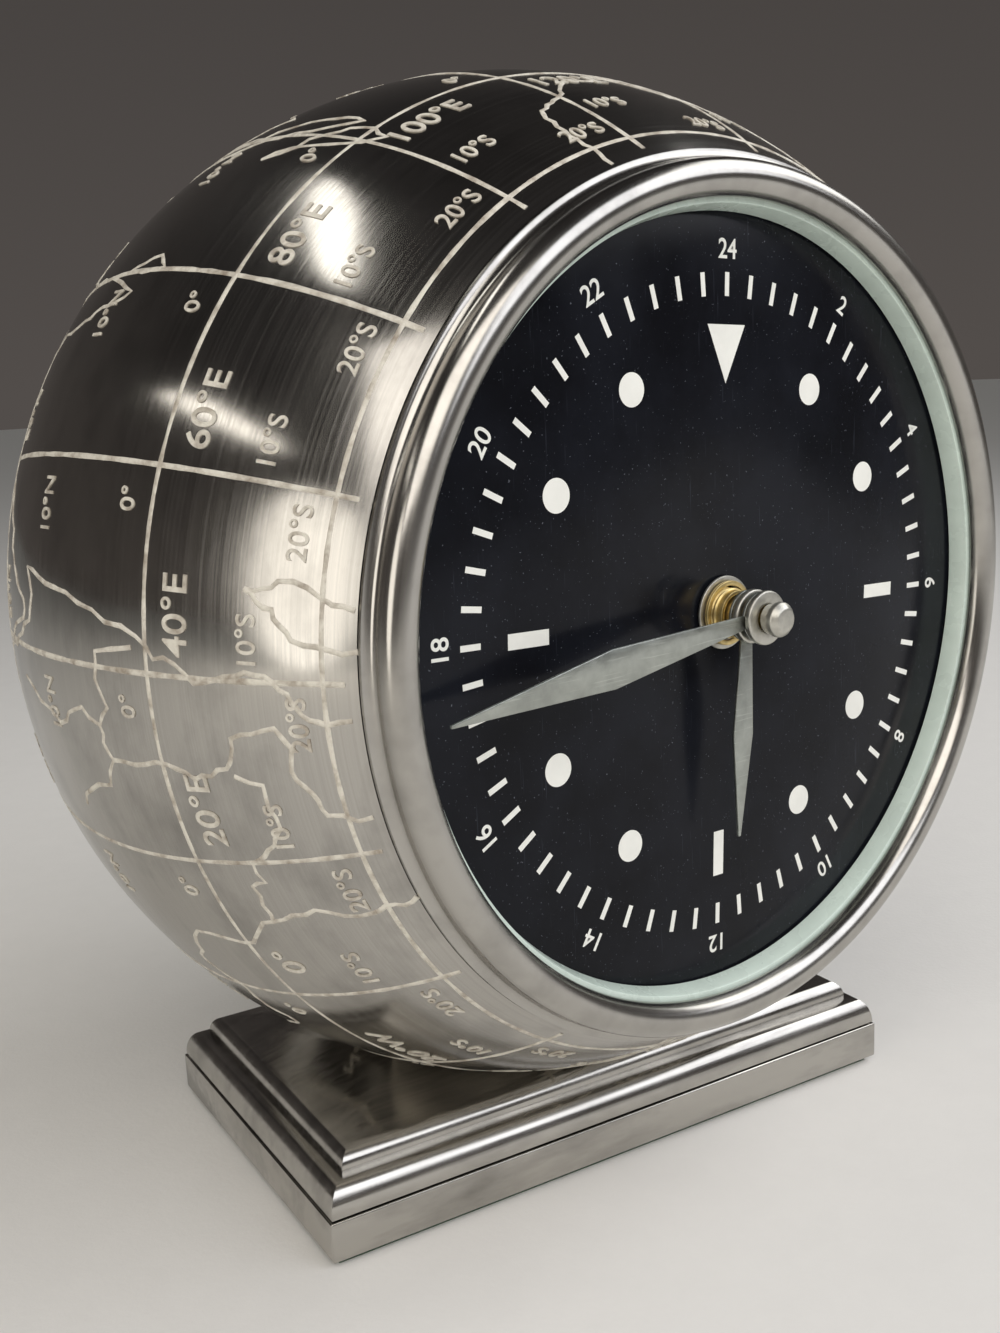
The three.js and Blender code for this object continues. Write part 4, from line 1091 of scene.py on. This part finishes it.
class CLOCK_OT_hub(bpy.types.Operator):
    """Make the washer, nut, threaded bush, hand bushes and end nut"""
    bl_idname = "clock.hub"
    bl_label = "Hub"

    def execute(self, context):
        sizes = context.scene.clock_hub
        hole = sizes.bush_radius + CLEARANCE
        self.washer("plated_washer", "dial_washer", hole, "satin", "globe", WASHER_EDGE)
        self.washer("brass_ring_nut", "bush_nut", hole, "brass", "globe", WASHER_EDGE)
        self.threaded(sizes)
        self.washer("hour_collet", "hour_hand_bush", sizes.hour_bore, "satin", "hour_set", COLLET_EDGE)
        self.washer("minute_collet", "minute_hand_bush", sizes.minute_bore, "satin", "minute_set", COLLET_EDGE)
        self.end_nut(sizes)
        return {"FINISHED"}

    def washer(self, name, node, bore, finish, body, edge):
        section = ring(bore, radius_of(node), back_of(node), front_of(node))
        turned(name, section, finish, body, node, edge, SMALL_SIDES)

    def threaded(self, sizes):
        """The bush on its flange, with a thread that starts two turns behind the dial."""
        back, front, flange = back_of("threaded_bush"), front_of("threaded_bush"), radius_of("threaded_bush")
        bore, flange_front = sizes.hour_bore, back + sizes.flange
        core = sizes.bush_radius - sizes.thread_depth
        bm = bmesh.new()
        turn_profile(bm, [(bore, back), (flange, back), (flange, flange_front), (core, flange_front),
                          (core, front), (bore, front)], SMALL_SIDES, BUSH_EDGE)
        start = back_of("dial_plate") - 2 * sizes.thread_pitch
        self.helix(bm, core, sizes.bush_radius, start, front, sizes.thread_pitch)
        finish_bmesh("brass_threaded_bush", bm, "brass", "globe", ["threaded_bush"])

    def helix(self, bm, core, crest, start, end, pitch):
        """Winds a V-shaped ridge, its root just inside the core, from start to a turn short of the end."""
        turns = int((end - start) / pitch) - 1
        steps = THREAD_SIDES * turns
        root = core - CLEARANCE / 4
        ridge = bmesh.new()
        face = ridge.faces.new([ridge.verts.new((radius, -start - share * pitch, GLOBE_CENTRE.z))
                                for radius, share in zip((root, crest, root), RIDGE_SHARES)])
        bmesh.ops.spin(ridge, geom=[face, *face.edges, *face.verts], cent=GLOBE_CENTRE, axis=(0, 1, 0),
                       dvec=(0, -pitch * turns / steps, 0), angle=math.tau * turns, steps=steps,
                       use_merge=False, use_duplicate=False)
        clean(ridge)
        take(bm, mesh_from("ridge", ridge))

    def end_nut(self, sizes):
        back, front, cap = back_of("hand_nut"), front_of("hand_nut"), radius_of("hand_nut")
        neck_front, bore_end = back + sizes.neck_length, back + sizes.nut_bore_depth
        profile = [(0, bore_end), (sizes.nut_bore, bore_end), (sizes.nut_bore, back), (sizes.neck_radius, back),
                   (sizes.neck_radius, neck_front), (cap, neck_front), (cap, front - sizes.cap_chamfer),
                   (cap - sizes.cap_chamfer, front), (0, front)]
        turned("end_cap_nut", profile, "satin", "minute_set", "hand_nut", NUT_EDGE, SMALL_SIDES)


class CLOCK_OT_hands(bpy.types.Operator):
    """Make the two lozenge hands"""
    bl_idname = "clock.hands"
    bl_label = "Hands"

    def execute(self, context):
        for kind in ("hour", "minute"):
            self.hand(kind, context.scene.clock_hands, getattr(context.scene.clock_hub, kind + "_bore"))
        return {"FINISHED"}

    def hand(self, kind, sizes, bore):
        """A flat lozenge with its edges rounded, and the eye that carries it."""
        node = kind + "_hand"
        back, front = back_of(node), front_of(node)
        long, widest, widest_at, neck, eye, turn = (
            getattr(sizes, f"{kind}_{part}") for part in ("length", "width", "widest", "neck", "eye", "turn"))
        side = [(neck / 2, (bore + eye) / 2), (widest / 2, widest_at), (sizes.tip_width / 2, long)]
        bm = bmesh.new()
        corners = [bm.verts.new((x, y, 0)) for x, y in side + [(-x, y) for x, y in reversed(side)]]
        lifted = extruded(bm, bm.faces.new(corners))[1]
        bmesh.ops.translate(bm, verts=lifted, vec=(0, 0, front - back))
        bmesh.ops.recalc_face_normals(bm, faces=bm.faces)
        bevel(bm, list(bm.edges), sizes.edge, segments=2)
        bmesh.ops.transform(bm, verts=bm.verts, matrix=dial_frame(turn, 0, back))
        turn_profile(bm, ring(bore, eye, back, front), SMALL_SIDES, sizes.eye_edge)
        finish_bmesh(kind + "_blade", bm, "blade", kind + "_set", [node])


# Base

def stacked_block(length_over, depth_over, levels):
    """A block with mitred corners, raised level by level from (inset, height) pairs."""
    bm = bmesh.new()
    inset, height = levels[0]
    made = bmesh.ops.create_grid(bm, x_segments=1, y_segments=1, size=0.5)["verts"]
    bmesh.ops.scale(bm, verts=made, vec=(length_over - 2 * inset, depth_over - 2 * inset, 1))
    bmesh.ops.translate(bm, verts=made, vec=(0, 0, height))
    bottom = face = list(bm.faces)[0]
    for next_inset, next_height in levels[1:]:
        grown, verts = extruded(bm, face)
        if face is not bottom:
            bmesh.ops.delete(bm, geom=[face], context="FACES_ONLY")
        shares = ((length_over - 2 * next_inset) / (length_over - 2 * inset),
                  (depth_over - 2 * next_inset) / (depth_over - 2 * inset), 1)
        bmesh.ops.scale(bm, verts=verts, vec=shares)
        bmesh.ops.translate(bm, verts=verts, vec=(0, 0, next_height - height))
        face, inset, height = grown, next_inset, next_height
    bmesh.ops.recalc_face_normals(bm, faces=bm.faces)
    return bm


def quarter_roll(inset, height, across, rise):
    """(inset, height) pairs of a quarter round that leans inwards."""
    angles = [math.pi / 2 * i / ROLL_STEPS for i in range(ROLL_STEPS + 1)]
    return [(inset + across * (1 - math.cos(a)), height + rise * math.sin(a)) for a in angles]


class CLOCK_OT_base(bpy.types.Operator):
    """Make the slab and the moulded plinth"""
    bl_idname = "clock.base"
    bl_label = "Base"

    def execute(self, context):
        sizes = context.scene.clock_base
        self.slab(sizes)
        self.plinth(sizes)
        return {"FINISHED"}

    def turn(self, bm, sizes):
        bmesh.ops.transform(bm, verts=bm.verts, matrix=Matrix.Rotation(sizes.turn, 4, "Z"))

    def slab(self, sizes):
        low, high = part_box("base_plate")
        bm = stacked_block(sizes.length_over, sizes.depth_over, [(0, low.z), (0, high.z)])
        bevel(bm, list(bm.edges), sizes.edge)
        self.turn(bm, sizes)
        holes = [upright_rod(sizes.screw_hole, low.z - OVERRUN, high.z + OVERRUN),
                 upright_rod(sizes.head_hole, low.z - OVERRUN, low.z + sizes.head_depth)]
        cut_piece("base_slab", bm, holes, "base", "base", "base_plate", sharp=30)

    def plinth(self, sizes):
        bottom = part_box("moulded_plinth")[0].z
        quirk_inset = sizes.set_back + sizes.lower_set + sizes.quirk_set
        quirk_height = bottom + sizes.lower_rise + sizes.quirk_rise
        roof_height = quirk_height + sizes.upper_rise + sizes.roof_run * math.tan(sizes.roof_slope)
        levels = quarter_roll(sizes.set_back, bottom, sizes.lower_set, sizes.lower_rise)
        levels.append((quirk_inset, bottom + sizes.lower_rise))
        levels += quarter_roll(quirk_inset, quirk_height, sizes.upper_set, sizes.upper_rise)
        levels.append((quirk_inset + sizes.upper_set + sizes.roof_run, roof_height))
        bm = stacked_block(sizes.length_over, sizes.depth_over, levels)
        self.turn(bm, sizes)
        cup = bmesh.new()
        bmesh.ops.create_uvsphere(cup, u_segments=CUP_SIDES, v_segments=CUP_SIDES // 2,
                                  radius=GLOBE_RADIUS + CLEARANCE)
        bmesh.ops.translate(cup, verts=cup.verts, vec=GLOBE_CENTRE)
        hole = upright_rod(sizes.screw_hole, bottom - OVERRUN, roof_height + OVERRUN)
        cut_piece("plinth_moulding", bm, [cup, hole], "base", "base", "moulded_plinth", sharp=30)


# Stage

# Soft lamps: name, shape, azimuth and elevation in degrees with azimuth 0 along +Y, distance from the
# globe, width and height in metres, power in watts, tint
LAMPS = (
    ("key_softbox", "RECTANGLE", (-140, 40), 1.1, 1.0, 0.8, 6.0, "fffaf4"),
    ("fill_softbox", "RECTANGLE", (150, 34), 1.25, 1.1, 0.8, 7.0, "f6f8ff"),
    ("window_softbox", "ELLIPSE", (-101, 9), 0.8, 0.36, 0.46, 0.85, "fffaf2"),
    ("band_softbox", "ELLIPSE", (-45, 66), 0.9, 0.5, 0.12, 0.5, "fffcf6"),
    ("strip_softbox", "ELLIPSE", (-72, 33), 0.8, 0.5, 0.04, 0.15, "fffaf2"),
    ("rear_softbox", "RECTANGLE", (105, 40), 1.1, 0.6, 0.6, 3.0, "ffffff"),
)

# The backdrop's colours at eye level and above it, and how high the upper one starts, as a share of the
# way up. The soft light all round has its own colour and strength.
BACKDROP_LOW, BACKDROP_HIGH, BACKDROP_TOP = "524d4a", "2d2b2b", 0.7
AMBIENT_COLOUR, AMBIENT = "f4f3f1", 0.2

# Half the width of the floor in metres
FLOOR_REACH = 6.0

# The photograph's camera: its picture in pixels, its place in mm from the globe's centre and its directions,
# as fitted to the dial's marks, its film's height in mm, and how near it sees in metres
PHOTO_WIDTH, PHOTO_HEIGHT = 1000, 1333
FOCAL_PIXELS = 1410.16
CENTRE_PIXEL = (508.63, 688.07)
CAMERA_PLACE = (-163.137, -205.278, 38.449)
CAMERA_FORWARD = (0.605098, 0.765710, -0.218048)
CAMERA_UP = (0.172777, 0.141055, 0.974808)
CAMERA_RIGHT = (0.777177, -0.627528, -0.046945)
FILM_HEIGHT = 36.0
NEAREST = 0.01


def softbox(name, shape, towards, distance, width, height, power, tint):
    """A soft lamp that looks at the globe."""
    azimuth, elevation = (math.radians(a) for a in towards)
    direction = Vector((math.sin(azimuth) * math.cos(elevation), math.cos(azimuth) * math.cos(elevation),
                        math.sin(elevation)))
    lamp = bpy.data.lights.new(name, "AREA")
    lamp.shape = shape
    lamp.size = width
    lamp.size_y = height
    lamp.energy = power
    lamp.color = linear(tint)[:3]
    holder = placed(name, lamp)
    holder.location = GLOBE_CENTRE + direction * distance
    holder.rotation_euler = (-direction).to_track_quat("-Z", "Y").to_euler()


def studio_floor():
    """The plain pale paper that the clock stands on."""
    bm = bmesh.new()
    bmesh.ops.create_grid(bm, x_segments=1, y_segments=1, size=FLOOR_REACH)
    floor = placed("studio_floor", mesh_from("studio_floor", bm))
    give_finish(floor.data, "paper")


def studio_world():
    """A dark warm backdrop, seen directly and in mirrors alike, and a soft grey light all round."""
    world = bpy.data.worlds.new("studio_world")
    bpy.context.scene.world = world
    world.use_nodes = True
    tree = world.node_tree
    tree.nodes.clear()
    place = add_node(tree, "ShaderNodeTexCoord")
    height = add_node(tree, "ShaderNodeSeparateXYZ", {0: place.outputs["Generated"]})
    climb = add_node(tree, "ShaderNodeMapRange", {
        "Value": height.outputs["Z"], "From Min": 0.0, "From Max": BACKDROP_TOP})
    paths = add_node(tree, "ShaderNodeLightPath")
    direct = add_node(tree, "ShaderNodeMath", {
        0: paths.outputs["Is Camera Ray"], 1: paths.outputs["Is Glossy Ray"]}, operation="MAXIMUM")
    seen = add_node(tree, "ShaderNodeMath", {
        0: direct.outputs[0], 1: paths.outputs["Is Transmission Ray"]}, operation="MAXIMUM")
    tone = add_node(tree, "ShaderNodeMix", {
        "Factor": climb.outputs["Result"], 6: linear(BACKDROP_LOW), 7: linear(BACKDROP_HIGH)}, data_type="RGBA")
    backdrop = add_node(tree, "ShaderNodeBackground", {"Color": tone.outputs[2], "Strength": 1.0})
    ambient = add_node(tree, "ShaderNodeBackground", {"Color": linear(AMBIENT_COLOUR), "Strength": AMBIENT})
    mix = add_node(tree, "ShaderNodeMixShader", {
        0: seen.outputs[0], 1: ambient.outputs[0], 2: backdrop.outputs[0]})
    add_node(tree, "ShaderNodeOutputWorld", {"Surface": mix.outputs[0]})


def photo_camera():
    """The camera at the photograph's viewing angle."""
    camera = bpy.data.cameras.new("photo_camera")
    camera.sensor_fit = "VERTICAL"
    camera.sensor_height = FILM_HEIGHT
    camera.lens = FOCAL_PIXELS / PHOTO_HEIGHT * FILM_HEIGHT
    camera.shift_x = (PHOTO_WIDTH / 2 - CENTRE_PIXEL[0]) / PHOTO_HEIGHT
    camera.shift_y = (CENTRE_PIXEL[1] - PHOTO_HEIGHT / 2) / PHOTO_HEIGHT
    camera.clip_start = NEAREST
    holder = placed("photo_camera", camera)
    turn = Matrix((CAMERA_RIGHT, CAMERA_UP, -Vector(CAMERA_FORWARD))).transposed().to_4x4()
    holder.matrix_world = Matrix.Translation(GLOBE_CENTRE + Vector(CAMERA_PLACE) * MM) @ turn
    bpy.context.scene.camera = holder


class CLOCK_OT_stage(bpy.types.Operator):
    """Set the floor, backdrop, lights and camera"""
    bl_idname = "clock.stage"
    bl_label = "Studio"

    def execute(self, context):
        context.scene.view_settings.view_transform = "Standard"
        studio_floor()
        studio_world()
        for lamp in LAMPS:
            softbox(*lamp)
        photo_camera()
        return {"FINISHED"}


PIECE_OPERATORS = (
    CLOCK_OT_stage, CLOCK_OT_carried, CLOCK_OT_globe, CLOCK_OT_map, CLOCK_OT_rear_cover, CLOCK_OT_dial,
    CLOCK_OT_bezel, CLOCK_OT_hub, CLOCK_OT_hands, CLOCK_OT_base,
)


class CLOCK_PT_panel(bpy.types.Panel):
    """Lists the pieces of the globe clock with their sizes and colours"""
    bl_idname = "CLOCK_PT_panel"
    bl_label = "Globe Clock"
    bl_space_type = "VIEW_3D"
    bl_region_type = "UI"
    bl_category = "Globe Clock"

    def draw(self, context):
        for operator in PIECE_OPERATORS:
            self.layout.operator(operator.bl_idname)
        for key in GROUPS:
            box = self.layout.box()
            group = getattr(context.scene, key)
            for name in group.bl_rna.properties.keys():
                if name not in ("rna_type", "name"):
                    box.prop(group, name)


def register():
    for group in GROUPS.values():
        bpy.utils.register_class(group)
    for key, group in GROUPS.items():
        setattr(bpy.types.Scene, key, bpy.props.PointerProperty(type=group))
    for operator in PIECE_OPERATORS:
        bpy.utils.register_class(operator)
    bpy.utils.register_class(CLOCK_PT_panel)


def unregister():
    bpy.utils.unregister_class(CLOCK_PT_panel)
    for operator in reversed(PIECE_OPERATORS):
        bpy.utils.unregister_class(operator)
    for key, group in GROUPS.items():
        delattr(bpy.types.Scene, key)
        bpy.utils.unregister_class(group)


def main():
    register()
    for operator in PIECE_OPERATORS:
        family, name = operator.bl_idname.split(".")
        getattr(getattr(bpy.ops, family), name)()


if __name__ == "__main__":
    main()
